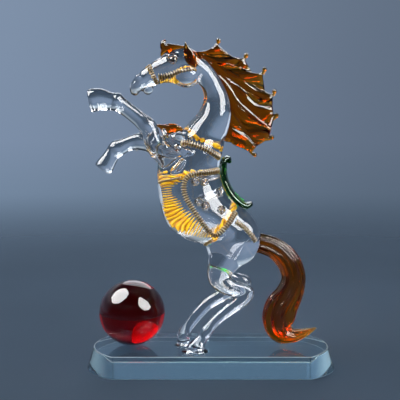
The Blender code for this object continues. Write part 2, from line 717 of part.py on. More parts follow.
def main():
    clear_scene()
    pieces, cutters = make_collections()
    base_glass = glass("base_glass", (0.80, 0.92, 0.95))
    clear_glass = glass("clear_glass", (0.97, 0.98, 1.0))
    ruby_glass = glass("ruby_glass", (0.30, 0.0, 0.01))
    amber_glass = glass("amber_glass", (0.36, 0.10, 0.01))
    green_glass = glass("green_glass", (0.0, 0.09, 0.01))
    thread_glass = glass("gold_thread_glass", (0.45, 0.33, 0.13), 0.3, 0.3)
    eye_glass = glass("eye_glass", (0.02, 0.02, 0.02))

    floor = floor_cutter(cutters)
    make_base(pieces, base_glass)
    make_ball(pieces, ruby_glass, floor)
    horse = make_horse(pieces, clear_glass, floor)
    horse_seat = swollen(horse, cutters)
    mane = make_mane(pieces, amber_glass, horse_seat)
    mane_seat = swollen(mane, cutters)
    forelock = make_lock("forelock", (FORELOCK, FORELOCK_FRINGE), pieces, amber_glass,
                         (horse_seat, mane_seat))
    forelock_seat = swollen(forelock, cutters)
    seats = (horse_seat, mane_seat, forelock_seat)
    make_lock("ear_left", (mirrored(EAR),), pieces, amber_glass, seats)
    make_lock("ear_right", (EAR,), pieces, amber_glass, seats)
    make_lock("chest_plume", (CHEST_PLUME,), pieces, amber_glass, (horse_seat,))
    make_tail(pieces, amber_glass, (horse_seat, floor))
    make_saddle(pieces, green_glass, horse_seat)
    tree = BVHTree.FromObject(horse, bpy.context.evaluated_depsgraph_get())
    make_harness((pieces, tree, horse_seat), thread_glass, clear_glass, eye_glass)
    for piece in pieces.objects:
        piece.data.shade_smooth()
        piece.data.set_sharp_from_angle(angle=math.radians(45))


if __name__ == "__main__":
    main()
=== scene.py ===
"""The looks of the rearing glass horse: flame-worked glass, gold thread harness, ball and base."""

import logging
import math
from dataclasses import dataclass, field
from enum import Enum

import bmesh
import bpy
from bmesh.types import BMEdge, BMesh, BMVert
from bpy.types import Material, Node, NodeTree, Object
from mathutils import Matrix, Vector
from mathutils.bvhtree import BVHTree

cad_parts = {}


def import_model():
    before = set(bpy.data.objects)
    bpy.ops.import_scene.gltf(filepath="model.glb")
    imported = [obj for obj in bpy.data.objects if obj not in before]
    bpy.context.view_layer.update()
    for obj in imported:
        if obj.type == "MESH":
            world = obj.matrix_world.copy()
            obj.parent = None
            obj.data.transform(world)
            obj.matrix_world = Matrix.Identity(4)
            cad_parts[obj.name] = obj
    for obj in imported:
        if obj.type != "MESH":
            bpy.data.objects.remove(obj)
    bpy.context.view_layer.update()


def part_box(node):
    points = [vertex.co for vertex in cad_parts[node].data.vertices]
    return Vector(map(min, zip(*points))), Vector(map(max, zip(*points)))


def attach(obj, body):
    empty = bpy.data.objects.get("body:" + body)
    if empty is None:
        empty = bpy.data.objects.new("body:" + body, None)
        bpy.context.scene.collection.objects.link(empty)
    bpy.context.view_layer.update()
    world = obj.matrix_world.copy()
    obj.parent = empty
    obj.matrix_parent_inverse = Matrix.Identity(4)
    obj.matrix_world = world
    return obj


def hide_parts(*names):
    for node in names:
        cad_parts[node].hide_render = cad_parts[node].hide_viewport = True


LOG = logging.getLogger("glass_horse")
MM = 0.001

Row = tuple[float, ...]
Rows = tuple[Row, ...]
Stops = tuple[tuple[float, str], ...]


class Flank(Enum):
    """The two sides of the horse; the value is the sign of Y on that side."""

    LEFT = -1
    RIGHT = 1

    @property
    def word(self) -> str:
        """The side's name as the pieces are named."""
        return self.name.lower()


# Colour and node helpers


def linear(hex_colour: str) -> tuple[float, float, float, float]:
    """Turns an sRGB hex colour to linear.

    Args:
        hex_colour: six hex digits after a hash sign.

    Returns:
        Red, green, blue and an alpha of one.
    """
    channels = [int(hex_colour[start:start + 2], 16) / 255 for start in (1, 3, 5)]
    curve = [c / 12.92 if c <= 0.04045 else ((c + 0.055) / 1.055) ** 2.4 for c in channels]
    return (curve[0], curve[1], curve[2], 1.0)


def add_node(tree: NodeTree, kind: str, values: dict | None = None,
             links: dict | None = None, stops: Stops = (), **settings: object) -> Node:
    """Adds a node with its settings, its socket values and its incoming links.

    Args:
        tree: the node tree that gets the node.
        kind: the node's type name.
        values: socket name to the value set on it.
        links: socket name to the output that feeds it.
        stops: a colour ramp's places from 0 to 1 with a hex colour each.
        **settings: attributes set on the node itself.

    Returns:
        The new node.
    """
    node = tree.nodes.new(kind)
    for name, value in settings.items():
        setattr(node, name, value)
    for name, value in (values or {}).items():
        node.inputs[name].default_value = value
    for name, output in (links or {}).items():
        tree.links.new(output, node.inputs[name])
    if stops:
        elements = node.color_ramp.elements
        for element, (place, colour) in zip(elements, (stops[0], stops[-1])):
            element.position = place
            element.color = linear(colour)
        for place, colour in stops[1:-1]:
            elements.new(place).color = linear(colour)
    return node


def start_material(name: str) -> tuple[Material, NodeTree, Node]:
    """Starts a material with nodes.

    Args:
        name: the material's name.

    Returns:
        The material, its node tree and its main shader.
    """
    made = bpy.data.materials.new(name)
    made.use_nodes = True
    return made, made.node_tree, made.node_tree.nodes["Principled BSDF"]


# Finishes


@dataclass(frozen=True)
class MoltenGlass:
    """Solid glass worked in a flame: see-through, tinted by its depth, its skin faintly wavy."""

    name: str
    body_colour: str
    absorption_colour: tuple[float, float, float, float]
    absorption_density: float
    ior: float = 1.5
    wave_mm: float = 9.0
    wave_height_mm: float = 0.10
    haze: float = 0.02
    # Roughness and whiteness added where the piece's own "ground" attribute marks a ground face
    ground: float = 0.0
    whiteness: float = 0.0

    def material(self) -> Material:
        """Builds the finish.

        Returns:
            A glass with a slow waviness in its skin and a trace of haze left by the flame.
        """
        made, tree, shader = start_material(self.name)
        output = tree.nodes["Material Output"]
        shader.inputs["Base Color"].default_value = linear(self.body_colour)
        shader.inputs["Transmission Weight"].default_value = 1.0
        shader.inputs["IOR"].default_value = self.ior
        place = add_node(tree, "ShaderNodeTexCoord")
        wave = add_node(tree, "ShaderNodeTexNoise",
                        {"Scale": 1 / (self.wave_mm * MM), "Detail": 1.0},
                        {"Vector": place.outputs["Object"]})
        bump = add_node(tree, "ShaderNodeBump",
                        {"Strength": 0.35, "Distance": self.wave_height_mm * MM},
                        {"Height": wave.outputs["Fac"]})
        tree.links.new(bump.outputs["Normal"], shader.inputs["Normal"])
        film = add_node(tree, "ShaderNodeTexNoise", {"Scale": 1 / (3 * self.wave_mm * MM)},
                        {"Vector": place.outputs["Object"]})
        haze = add_node(tree, "ShaderNodeMapRange", {"To Min": 0.0, "To Max": self.haze},
                        {"Value": film.outputs["Fac"]})
        marked = add_node(tree, "ShaderNodeAttribute", attribute_name="ground")
        rough = add_node(tree, "ShaderNodeMath", {1: self.ground},
                         {0: marked.outputs["Fac"], 2: haze.outputs["Result"]},
                         operation="MULTIPLY_ADD")
        tree.links.new(rough.outputs["Value"], shader.inputs["Roughness"])
        if self.whiteness > 0:
            clear = add_node(tree, "ShaderNodeMath", {1: -self.whiteness, 2: 1.0},
                             {0: marked.outputs["Fac"]}, operation="MULTIPLY_ADD")
            tree.links.new(clear.outputs["Value"], shader.inputs["Transmission Weight"])
        if self.absorption_density > 0:
            depth = add_node(tree, "ShaderNodeVolumeAbsorption",
                             {"Color": self.absorption_colour, "Density": self.absorption_density})
            tree.links.new(depth.outputs["Volume"], output.inputs["Volume"])
        return made


@dataclass(frozen=True)
class GoldThreadGlass:
    """Gold-lustred glass cane wound into a ribbed thread: satin crests painted pale as a
    highlight, amber grooves painted dark as shade.
    """

    name: str = "gold_thread_glass"
    # Painted highlight on the rib crests, painted shade in the grooves, the amber flank between
    crest: str = "#ffe8a8"
    flank: str = "#cf962a"
    groove_shade: str = "#3c2004"
    # The side fused to the body: the cane's own amber, painted brighter to stand in for light
    # shining through the cane, with painted shade in its grooves
    underside: str = "#ffc80c"
    underside_groove_shade: str = "#b06206"

    def material(self) -> Material:
        """Builds the finish on the threads' own coordinates.

        Returns:
            A satin, slightly see-through glass, ribbed in shape, with painted highlights on the
            rib crests and painted shade in the grooves; on the side fused to the body, the cane's
            amber, painted brighter to stand in for light shining through the cane, with painted
            shade in its grooves.
        """
        made, tree, shader = start_material(self.name)
        rib = add_node(tree, "ShaderNodeAttribute", attribute_name="rib")
        under = add_node(tree, "ShaderNodeAttribute", attribute_name="under")
        place = add_node(tree, "ShaderNodeTexCoord")
        patch = add_node(tree, "ShaderNodeTexNoise", {"Scale": 1 / (4 * MM), "Detail": 2.0},
                         {"Vector": place.outputs["Object"]})
        # The rib value paints the crests pale as a highlight and the grooves dark as shade
        colour = add_node(tree, "ShaderNodeValToRGB", links={"Fac": rib.outputs["Fac"]},
                          stops=((0.0, self.groove_shade), (0.5, self.flank), (1.0, self.crest)))
        worn = add_node(tree, "ShaderNodeMix", {"Factor": 0.25},
                        {"A": colour.outputs["Color"], "B": patch.outputs["Fac"]},
                        data_type="RGBA", blend_type="OVERLAY")
        # Painted glow on the fused side, with painted shade towards the grooves
        underside_glow_ramp = add_node(tree, "ShaderNodeValToRGB", links={"Fac": rib.outputs["Fac"]},
                         stops=((0.0, self.underside_groove_shade), (0.55, self.underside)))
        fused = add_node(tree, "ShaderNodeMix", {},
                         {"Factor": under.outputs["Fac"], "A": worn.outputs["Result"],
                          "B": underside_glow_ramp.outputs["Color"]}, data_type="RGBA")
        tree.links.new(fused.outputs["Result"], shader.inputs["Base Color"])
        satin = add_node(tree, "ShaderNodeMapRange", {"To Min": 0.2, "To Max": 0.45},
                         {"Value": patch.outputs["Fac"]})
        tree.links.new(satin.outputs["Result"], shader.inputs["Roughness"])
        shader.inputs["Transmission Weight"].default_value = 0.12
        shader.inputs["IOR"].default_value = 1.5
        shader.inputs["Coat Weight"].default_value = 0.8
        shader.inputs["Coat Roughness"].default_value = 0.08
        return made


@dataclass(frozen=True)
class PupilGlass:
    """A pinhead of black glass rod melted under the eye's clear bead: glossy, almost no colour."""

    name: str = "pupil_glass"
    deep: str = "#050505"
    sheen: str = "#1c130c"

    def material(self) -> Material:
        """Builds the finish.

        Returns:
            A glossy black glass with a brown cast where the rod was heated most.
        """
        made, tree, shader = start_material(self.name)
        place = add_node(tree, "ShaderNodeTexCoord")
        cast = add_node(tree, "ShaderNodeTexNoise", {"Scale": 1 / (1.5 * MM)},
                        {"Vector": place.outputs["Object"]})
        colour = add_node(tree, "ShaderNodeValToRGB", links={"Fac": cast.outputs["Fac"]},
                          stops=((0.3, self.deep), (0.8, self.sheen)))
        tree.links.new(colour.outputs["Color"], shader.inputs["Base Color"])
        shader.inputs["Roughness"].default_value = 0.05
        return made


@dataclass(frozen=True)
class StudioPaper:
    """Matt blue-grey background paper, which blends into the room at its rim."""

    name: str = "studio_paper"
    light: str = "#5b6f84"
    shade: str = "#566a7e"
    fade_start: float = 0.3
    fade_end: float = 1.6

    def material(self) -> Material:
        """Builds the finish.

        Returns:
            A matt, faintly cloudy paper that thins out to nothing towards its rim.
        """
        made, tree, shader = start_material(self.name)
        place = add_node(tree, "ShaderNodeTexCoord")
        cloud = add_node(tree, "ShaderNodeTexNoise", {"Scale": 1 / (300 * MM)},
                         {"Vector": place.outputs["Object"]})
        colour = add_node(tree, "ShaderNodeValToRGB", links={"Fac": cloud.outputs["Fac"]},
                          stops=((0.3, self.shade), (0.7, self.light)))
        tree.links.new(colour.outputs["Color"], shader.inputs["Base Color"])
        shader.inputs["Roughness"].default_value = 0.9
        shader.inputs["Specular IOR Level"].default_value = 0.05
        reach = add_node(tree, "ShaderNodeVectorMath", links={"Vector": place.outputs["Object"]},
                         operation="LENGTH")
        fade = add_node(tree, "ShaderNodeMapRange",
                        {"From Min": self.fade_start, "From Max": self.fade_end,
                         "To Min": 1.0, "To Max": 0.0},
                        {"Value": reach.outputs["Value"]}, interpolation_type="SMOOTHSTEP")
        tree.links.new(fade.outputs["Result"], shader.inputs["Alpha"])
        return made


CLEAR_GLASS = MoltenGlass("clear_glass", "#fafcff", (1.0, 1.0, 1.0, 1.0), 0.0,
                          wave_mm=11.0, wave_height_mm=0.5)
PLATE_GLASS = MoltenGlass("base_glass", "#eefafd", (0.10, 0.62, 0.78, 1.0), 5.0,
                          wave_mm=60.0, wave_height_mm=0.02, haze=0.01, ground=0.3,
                          whiteness=0.6)
RUBY_GLASS = MoltenGlass("ruby_glass", "#ffdada", (0.968, 0.02, 0.05, 1.0), 700.0,
                         wave_mm=30.0, wave_height_mm=0.03)
AMBER_GLASS = MoltenGlass("amber_glass", "#ffe2b0", (0.912, 0.705, 0.048, 1.0), 1080.0,
                          wave_mm=5.0)
TAIL_GLASS = MoltenGlass("tail_glass", "#ffe2b0", (0.948, 0.80, 0.08, 1.0), 620.0, wave_mm=6.0)
GREEN_GLASS = MoltenGlass("green_glass", "#c8ffd0", (0.05, 0.82, 0.25, 1.0), 620.0)


# Shape helpers


@dataclass(frozen=True)
class Figure:
    """Turns the horse's own measure, hundredths of its height, into places in the frame."""

    floor: float
    height: float = 0.2325
    forward: float = 0.012

    @property
    def unit(self) -> float:
        """One hundredth of the horse's height, in metres."""
        return self.height / 100

    def at(self, x: float, y: float, z: float) -> Vector:
        """The point in metres for x along the base, y off the mid-plane and z above the base."""
        return Vector((x * self.unit, y * self.unit - self.forward, z * self.unit + self.floor))


def spline(rows: Rows, steps: int) -> list[Row]:
    """Adds rows between the given ones on a Catmull-Rom curve.

    Args:
        rows: rows of numbers of one width.
        steps: stages worked out in each span.

    Returns:
        The given rows and those between them.
    """
    padded = (rows[0], *rows, rows[-1])
    result = []
    for a, b, c, d in zip(padded, padded[1:], padded[2:], padded[3:]):
        for step in range(steps):
            t = step / steps
            result.append(tuple(
                0.5 * (2 * q + (r - p) * t + (2 * p - 5 * q + 4 * r - s) * t ** 2
                       + (3 * q - p - 3 * r + s) * t ** 3)
                for p, q, r, s in zip(a, b, c, d)))
    result.append(tuple(rows[-1]))
    return result


@dataclass
class Section:
    """One elliptical section of a loft: its middle and its two half axes."""

    centre: Vector
    across: Vector
    side: Vector

    def ring(self, sides: int, swell: list[float] | None = None) -> list[Vector]:
        """The points round the section.

        Args:
            sides: how many points.
            swell: a factor on the radius at each point.

        Returns:
            The points in order.
        """
        points = []
        for index in range(sides):
            angle = 2 * math.pi * index / sides
            factor = swell[index] if swell else 1.0
            points.append(self.centre + self.across * (math.cos(angle) * factor)
                          + self.side * (math.sin(angle) * factor))
        return points

    def cap(self, inner: "Section", roundness: float,
            steps: int) -> tuple[list["Section"], Vector]:
        """The sections that close this end in a rounded cap.

        Args:
            inner: the next section inwards.
            roundness: the cap's reach as a share of the smaller half axis.
            steps: stages in the cap.

        Returns:
            The cap's sections and its pole.
        """
        out = self.across.cross(self.side).normalized()
        if out.dot(self.centre - inner.centre) < 0:
            out = -out
        reach = min(self.across.length, self.side.length) * roundness
        sections = []
        for step in range(1, steps):
            angle = 0.5 * math.pi * step / steps
            shrink = math.cos(angle)
            middle = self.centre + out * (reach * math.sin(angle))
            sections.append(Section(middle, self.across * shrink, self.side * shrink))
        return sections, self.centre + out * reach


def close_skin(mesh: BMesh, loops: list[list[BMVert]],
               poles: tuple[BMVert, BMVert]) -> None:
    """Joins rings of vertices and a pole at each end into a closed skin.

    Args:
        mesh: the mesh that holds them.
        loops: the rings from end to end.
        poles: the vertex beyond the first ring and the one beyond the last.
    """
    faces = []
    sides = len(loops[0])
    for index in range(sides):
        after = (index + 1) % sides
        faces.append(mesh.faces.new((poles[0], loops[0][after], loops[0][index])))
        faces.append(mesh.faces.new((poles[1], loops[-1][index], loops[-1][after])))
        for upper, lower in zip(loops, loops[1:]):
            quad = (upper[index], upper[after], lower[after], lower[index])
            faces.append(mesh.faces.new(quad))
    bmesh.ops.recalc_face_normals(mesh, faces=faces)


@dataclass
class Loft:
    """A closed skin drawn through sections, with optional lengthwise ribs that twist."""

    sections: list[Section]
    sides: int = 24
    roundness: tuple[float, float] = (0.8, 0.8)
    caps: int = 5
    ribs: int = 0
    rib_depth: float = 0.0
    twist: float = 0.0

    def swell(self, share: float) -> list[float] | None:
        """The ribs' factors on the radius at one section.

        Args:
            share: how far along the loft the section lies.

        Returns:
            One factor a point, or nothing on a loft with no ribs.
        """
        if not self.ribs:
            return None
        factors = []
        for index in range(self.sides):
            angle = 2 * math.pi * index / self.sides
            wave = math.cos(self.ribs * angle + self.twist * share)
            fine = math.cos(3 * self.ribs * angle + 2 * self.twist * share)
            factors.append(1.0 + self.rib_depth * (wave + 0.3 * fine))
        return factors

    def add_to(self, mesh: BMesh) -> list[list[BMVert]]:
        """Adds the skin to a mesh.

        Args:
            mesh: the mesh that gets it.

        Returns:
            The rings of vertices from end to end, without the poles.
        """
        head, head_pole = self.sections[0].cap(self.sections[1], self.roundness[0], self.caps)
        foot, foot_pole = self.sections[-1].cap(self.sections[-2], self.roundness[1], self.caps)
        rings = [section.ring(self.sides, self.swell(0.0)) for section in reversed(head)]
        for index, section in enumerate(self.sections):
            rings.append(section.ring(self.sides, self.swell(index / len(self.sections))))
        rings += [section.ring(self.sides, self.swell(1.0)) for section in foot]
        loops = [[mesh.verts.new(point) for point in ring] for ring in rings]
        close_skin(mesh, loops, (mesh.verts.new(head_pole), mesh.verts.new(foot_pole)))
        return loops


def limb_sections(figure: Figure, rows: list[Row]) -> list[Section]:
    """Sections square to a limb's run.

    Args:
        figure: the horse's measure.
        rows: x, y, z, half width in the horse's plane and half width across it.

    Returns:
        One section a row.
    """
    centres = [figure.at(*row[:3]) for row in rows]
    sections = []
    for index, row in enumerate(rows):
        before = centres[max(index - 1, 0)]
        after = centres[min(index + 1, len(rows) - 1)]
        run = (after - before).normalized()
        across = run.cross(Vector((0, 1, 0))).normalized()
        side = across.cross(run).normalized()
        sections.append(Section(centres[index], across * row[3] * figure.unit,
                                side * row[4] * figure.unit))
    return sections


def place_mesh(name: str, mesh: BMesh, material: Material) -> Object:
    """Makes a smooth-shaded object from built faces.

    Args:
        name: the piece's name.
        mesh: its faces, which are freed.
        material: its finish.

    Returns:
        The new object.
    """
    data = bpy.data.meshes.new(name)
    mesh.to_mesh(data)
    mesh.free()
    piece = bpy.data.objects.new(name, data)
    bpy.context.scene.collection.objects.link(piece)
    data.materials.append(material)
    data.shade_smooth()
    return piece


def settle(piece: Object) -> None:
    """Turns what an object's modifiers show into its own mesh.

    Args:
        piece: the object, whose modifiers are then cleared.
    """
    graph = bpy.context.evaluated_depsgraph_get()
    graph.update()
    fresh = bpy.data.meshes.new_from_object(piece.evaluated_get(graph))
    piece.modifiers.clear()
    piece.data = fresh
    piece.data.shade_smooth()


def melt(piece: Object, voxel: float, passes: int) -> None:
    """Fuses overlapping forms into one skin and lets it flow smooth.

    Args:
        piece: the object.
        voxel: fineness of the skin, in metres.
        passes: smoothing passes.
    """
    fuse = piece.modifiers.new("Fuse", "REMESH")
    fuse.mode = "VOXEL"
    fuse.voxel_size = voxel
    flow = piece.modifiers.new("Flow", "SMOOTH")
    flow.factor = 0.5
    flow.iterations = passes
    settle(piece)


def hand_over(piece: Object, slot: str, *nodes: str) -> None:
    """Ties a finished piece to the frame.

    Args:
        piece: the object.
        slot: the record's material slot; not used.
        *nodes: the CAD nodes that it stands for.
    """
    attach(piece, "root")
    if nodes:
        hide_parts(*nodes)
    faces = len(piece.data.polygons)
    LOG.info("%s: %d faces, stands for %s", piece.name, faces, ", ".join(nodes) or "nothing")


# Sub-assemblies


@dataclass
class GlassBase:
    """The clear plate: straight long sides, arched ends that lean out, polished arrises."""

    end_bulge: float = 16 * MM
    end_flare: float = 5.5 * MM
    arris: float = 0.7 * MM
    arc_steps: int = 48
    # A face whose normal rises between these is an arris, ground to a satin line
    arris_rise: tuple[float, float] = (0.36, 0.98)
    # How ground the upright faces are beside an arris
    edge_share: float = 0.06

    def outline(self, half_length: float, half_depth: float, bulge: float) -> list[Row]:
        """The plate's plan at one height.

        Args:
            half_length: half the plate's whole length there.
            half_depth: half its depth.
            bulge: how far each end's arc stands out.

        Returns:
            The points round the plan.
        """
        radius = (half_depth ** 2 + bulge ** 2) / (2 * bulge)
        sweep = math.asin(half_depth / radius)
        middle = half_length - radius
        right = []
        for step in range(self.arc_steps + 1):
            angle = sweep * (2 * step / self.arc_steps - 1)
            right.append((middle + radius * math.cos(angle), radius * math.sin(angle)))
        return right + [(-x, -y) for x, y in right]

    def build(self) -> None:
        """Builds the plate on the CAD plate's own size."""
        low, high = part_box("base")
        mesh = bmesh.new()
        top_plan = self.outline(high.x - self.end_flare, high.y, self.end_bulge)
        foot_plan = self.outline(high.x, high.y, self.end_bulge + self.end_flare)
        top = [mesh.verts.new((x, y, high.z)) for x, y in top_plan]
        foot = [mesh.verts.new((x, y, low.z)) for x, y in foot_plan]
        mesh.faces.new(top)
        mesh.faces.new(list(reversed(foot)))
        count = len(top)
        for index in range(count):
            after = (index + 1) % count
            mesh.faces.new((foot[index], foot[after], top[after], top[index]))
        bmesh.ops.recalc_face_normals(mesh, faces=mesh.faces)
        piece = place_mesh("glass_base", mesh, PLATE_GLASS.material())
        bevel = piece.modifiers.new("Arris", "BEVEL")
        bevel.width = self.arris
        bevel.segments = 3
        bevel.limit_method = "ANGLE"
        bevel.angle_limit = math.radians(35)
        settle(piece)
        piece.data.set_sharp_from_angle(angle=math.radians(12))
        ground = piece.data.attributes.new("ground", "FLOAT", "FACE")
        flattest, steepest = self.arris_rise
        rises = [abs(face.normal.z) for face in piece.data.polygons]
        ground.data.foreach_set("value", [self.edge_share if rise <= flattest
                                          else float(rise < steepest) for rise in rises])
        hand_over(piece, "base_glass", "base")


@dataclass
class RubyBall:
    """The ruby ball, ground flat where it stands."""

    segments: int = 96

    def build(self) -> None:
        """Builds the ball on the CAD ball's own size."""
        low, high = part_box("ball")
        radius = (high.y - low.y) / 2
        centre = Vector(((low.x + high.x) / 2, (low.y + high.y) / 2, high.z - radius))
        mesh = bmesh.new()
        bmesh.ops.create_uvsphere(mesh, u_segments=self.segments, v_segments=self.segments // 2,
                                  radius=radius)
        bmesh.ops.translate(mesh, verts=mesh.verts, vec=centre)
        for vert in mesh.verts:
            vert.co.z = max(vert.co.z, low.z)
        piece = place_mesh("ruby_ball", mesh, RUBY_GLASS.material())
        hand_over(piece, "ruby_glass", "ball")


@dataclass
class HorseBody:
    """The clear body: trunk, neck, head, legs and hoof puddles melted into one skin."""

    figure: Figure
    voxel: float = 0.8 * MM
    passes: int = 16
    # Each row: underside x and z, topline x and z, half width
    trunk: Rows = (
        (2.4, 27.6, 12.4, 29.4, 4.6), (-0.3, 29.4, 15.0, 32.1, 7.5),
        (-1.3, 32.4, 16.3, 36.0, 9.0), (-2.3, 34.2, 14.8, 40.9, 9.7),
        (-6.8, 35.5, 11.9, 44.9, 10.3), (-12.6, 39.2, 8.4, 47.7, 10.9),
        (-15.5, 43.8, 5.8, 50.0, 11.0), (-16.7, 49.3, 3.7, 54.2, 10.7),
        (-17.3, 54.8, 2.7, 59.0, 10.3), (-17.2, 60.0, 3.3, 62.5, 9.7),
        (-16.4, 64.2, 4.0, 65.7, 8.8), (-14.2, 68.2, 4.6, 68.9, 7.5),
        (-9.5, 71.1, 5.4, 71.3, 6.7), (-6.6, 74.1, 6.2, 74.4, 6.0),
        (-3.9, 77.1, 6.5, 77.4, 5.2), (-2.4, 81.1, 5.8, 81.4, 4.3),
        (-2.8, 84.1, 4.3, 84.7, 3.9), (-3.9, 85.7, 1.8, 89.3, 3.7),
        (-4.5, 86.0, -1.2, 93.1, 3.8), (-5.8, 85.2, -4.2, 95.8, 4.0),
        (-7.6, 84.6, -7.2, 97.1, 4.2), (-9.5, 84.9, -10.4, 97.1, 4.2),
        (-11.9, 86.0, -13.8, 95.6, 3.9), (-14.4, 86.2, -16.3, 94.2, 3.4),
        (-17.0, 85.7, -19.5, 92.3, 2.9), (-18.6, 84.9, -21.7, 90.5, 2.7),
        (-20.7, 84.5, -23.8, 88.6, 2.8), (-22.4, 83.6, -25.4, 86.6, 2.6),
        (-23.8, 82.9, -26.1, 84.6, 1.8),
    )
    # Rounded masses: x, y, z and half sizes; those off the mid-plane stand on both sides
    masses: Rows = (
        (-10.5, 5.2, 64.0, 6.0, 3.4, 6.8), (7.2, 5.0, 36.0, 8.2, 4.6, 8.4),
        (-7.9, 3.0, 88.6, 3.4, 2.2, 3.2), (-12.6, 3.4, 94.6, 2.0, 0.9, 0.9),
        (-23.2, 2.1, 88.0, 1.2, 0.8, 1.0), (-24.4, 0.0, 83.4, 1.5, 1.9, 1.3),
        (-20.2, 0.0, 84.2, 1.7, 1.7, 1.9),
    )
    # Legs: x, y, z, half width in the horse's plane, half width across it
    legs: tuple[Rows, ...] = (
        ((-8.6, -3.8, 60.9, 6.0, 4.2), (-12.4, -4.4, 63.1, 5.2, 3.8),
         (-16.2, -4.8, 65.0, 3.6, 3.2), (-18.3, -5.0, 67.6, 3.0, 2.7),
         (-19.5, -5.0, 71.0, 2.8, 2.6), (-20.3, -5.0, 72.6, 2.9, 2.7),
         (-22.5, -5.0, 74.6, 2.5, 2.3), (-26.2, -5.0, 77.5, 2.4, 2.2),
         (-29.0, -5.0, 79.5, 2.6, 2.4), (-30.0, -5.0, 80.1, 3.2, 3.0),
         (-31.0, -5.0, 80.4, 2.7, 2.5), (-32.8, -5.0, 80.5, 3.1, 2.8),
         (-35.4, -5.0, 81.0, 3.5, 3.1), (-38.2, -5.0, 80.5, 3.8, 3.4)),
        ((-8.8, 3.8, 61.3, 5.6, 4.0), (-14.0, 4.4, 64.5, 4.2, 3.6),
         (-19.8, 4.8, 66.8, 3.1, 2.8), (-23.1, 4.8, 67.3, 2.9, 2.6),
         (-26.0, 4.8, 66.8, 2.4, 2.2), (-28.9, 4.8, 65.7, 2.5, 2.3),
         (-30.6, 4.8, 64.9, 2.9, 2.7), (-31.9, 4.8, 63.6, 2.5, 2.3),
         (-33.0, 4.8, 61.8, 2.6, 2.4), (-34.2, 4.8, 60.0, 2.9, 2.7),
         (-35.2, 4.8, 58.4, 3.1, 2.9)),
        ((7.6, -4.2, 36.0, 8.0, 4.6), (4.6, -4.6, 30.5, 5.6, 4.2),
         (2.7, -4.8, 26.0, 4.1, 3.6), (3.0, -4.8, 23.2, 3.4, 3.0),
         (6.0, -4.8, 21.0, 2.8, 2.5), (9.6, -4.8, 20.2, 2.4, 2.2),
         (11.6, -4.8, 19.3, 2.3, 2.1), (10.2, -4.8, 17.1, 2.3, 2.0),
         (6.7, -4.8, 14.6, 2.1, 2.0), (2.9, -4.8, 11.5, 1.9, 1.9),
         (0.0, -4.8, 8.7, 1.8, 1.8), (-1.6, -4.8, 6.6, 2.0, 2.0),
         (-2.8, -4.8, 4.6, 1.8, 1.8), (-4.3, -4.8, 2.4, 2.4, 2.2),
         (-5.7, -4.8, 0.4, 2.9, 2.6)),
        ((7.0, 4.2, 36.0, 7.8, 4.6), (4.4, 4.6, 29.8, 4.8, 4.0),
         (3.6, 4.8, 25.4, 3.8, 3.3), (7.0, 4.8, 22.2, 2.6, 2.5),
         (11.0, 4.8, 21.2, 2.3, 2.2), (9.7, 4.8, 19.4, 2.3, 2.1),
         (4.7, 4.8, 17.2, 2.2, 2.0), (-0.9, 4.8, 13.9, 2.1, 2.0),
         (-5.2, 4.8, 9.4, 2.0, 1.9), (-7.9, 4.8, 5.7, 1.9, 1.8),
         (-9.0, 4.8, 3.5, 2.2, 2.1), (-9.0, 4.8, 1.8, 2.1, 2.0),
         (-8.8, 4.8, 0.2, 2.6, 2.4)),
    )
    puddles: Rows = ((-5.2, -4.8, 4.6, 3.6, 1.1), (-8.4, 4.6, 4.0, 3.4, 0.9))
    # Folds of glass drawn from each shoulder over the chest, on both sides
    folds: tuple[Rows, ...] = (
        ((-18.6, 5.0, 72.1, 0.9, 0.9), (-18.1, 5.6, 69.9, 1.2, 1.0), (-17.5, 6.2, 67.7, 1.3, 1.1),
         (-15.6, 7.4, 65.7, 1.3, 1.1), (-12.0, 8.7, 64.4, 1.1, 0.9), (-8.3, 9.2, 63.8, 0.7, 0.6)),
        ((-15.1, 6.2, 71.4, 0.8, 0.8), (-14.2, 7.6, 68.9, 1.0, 0.9), (-12.3, 8.6, 66.8, 1.0, 0.9),
         (-9.2, 9.1, 65.5, 0.9, 0.8), (-6.1, 9.2, 64.3, 0.6, 0.5)),
        ((-12.0, 8.7, 58.7, 0.5, 0.6), (-10.8, 9.5, 59.3, 0.8, 0.7), (-9.8, 9.8, 60.6, 0.8, 0.7),
         (-8.9, 9.9, 62.1, 0.5, 0.5)),
    )

    def trunk_sections(self) -> list[Section]:
        """Sections from the rump to the muzzle, each between its underside and topline."""
        sections = []
        for low_x, low_z, top_x, top_z, half in spline(self.trunk, steps=6):
            low = self.figure.at(low_x, 0, low_z)
            top = self.figure.at(top_x, 0, top_z)
            side = Vector((0, half * self.figure.unit, 0))
            sections.append(Section((low + top) / 2, (top - low) / 2, side))
        return sections

    def add_mass(self, mesh: BMesh, place: Vector, half_sizes: Row) -> None:
        """Adds one rounded mass.

        Args:
            mesh: the mesh that gets it.
            place: its middle.
            half_sizes: its half sizes in the horse's measure.
        """
        made = bmesh.ops.create_uvsphere(mesh, u_segments=32, v_segments=16, radius=1.0)
        scaled = [half * self.figure.unit for half in half_sizes]
        for vert in made["verts"]:
            vert.co = Vector([part * half for part, half in zip(vert.co, scaled)]) + place

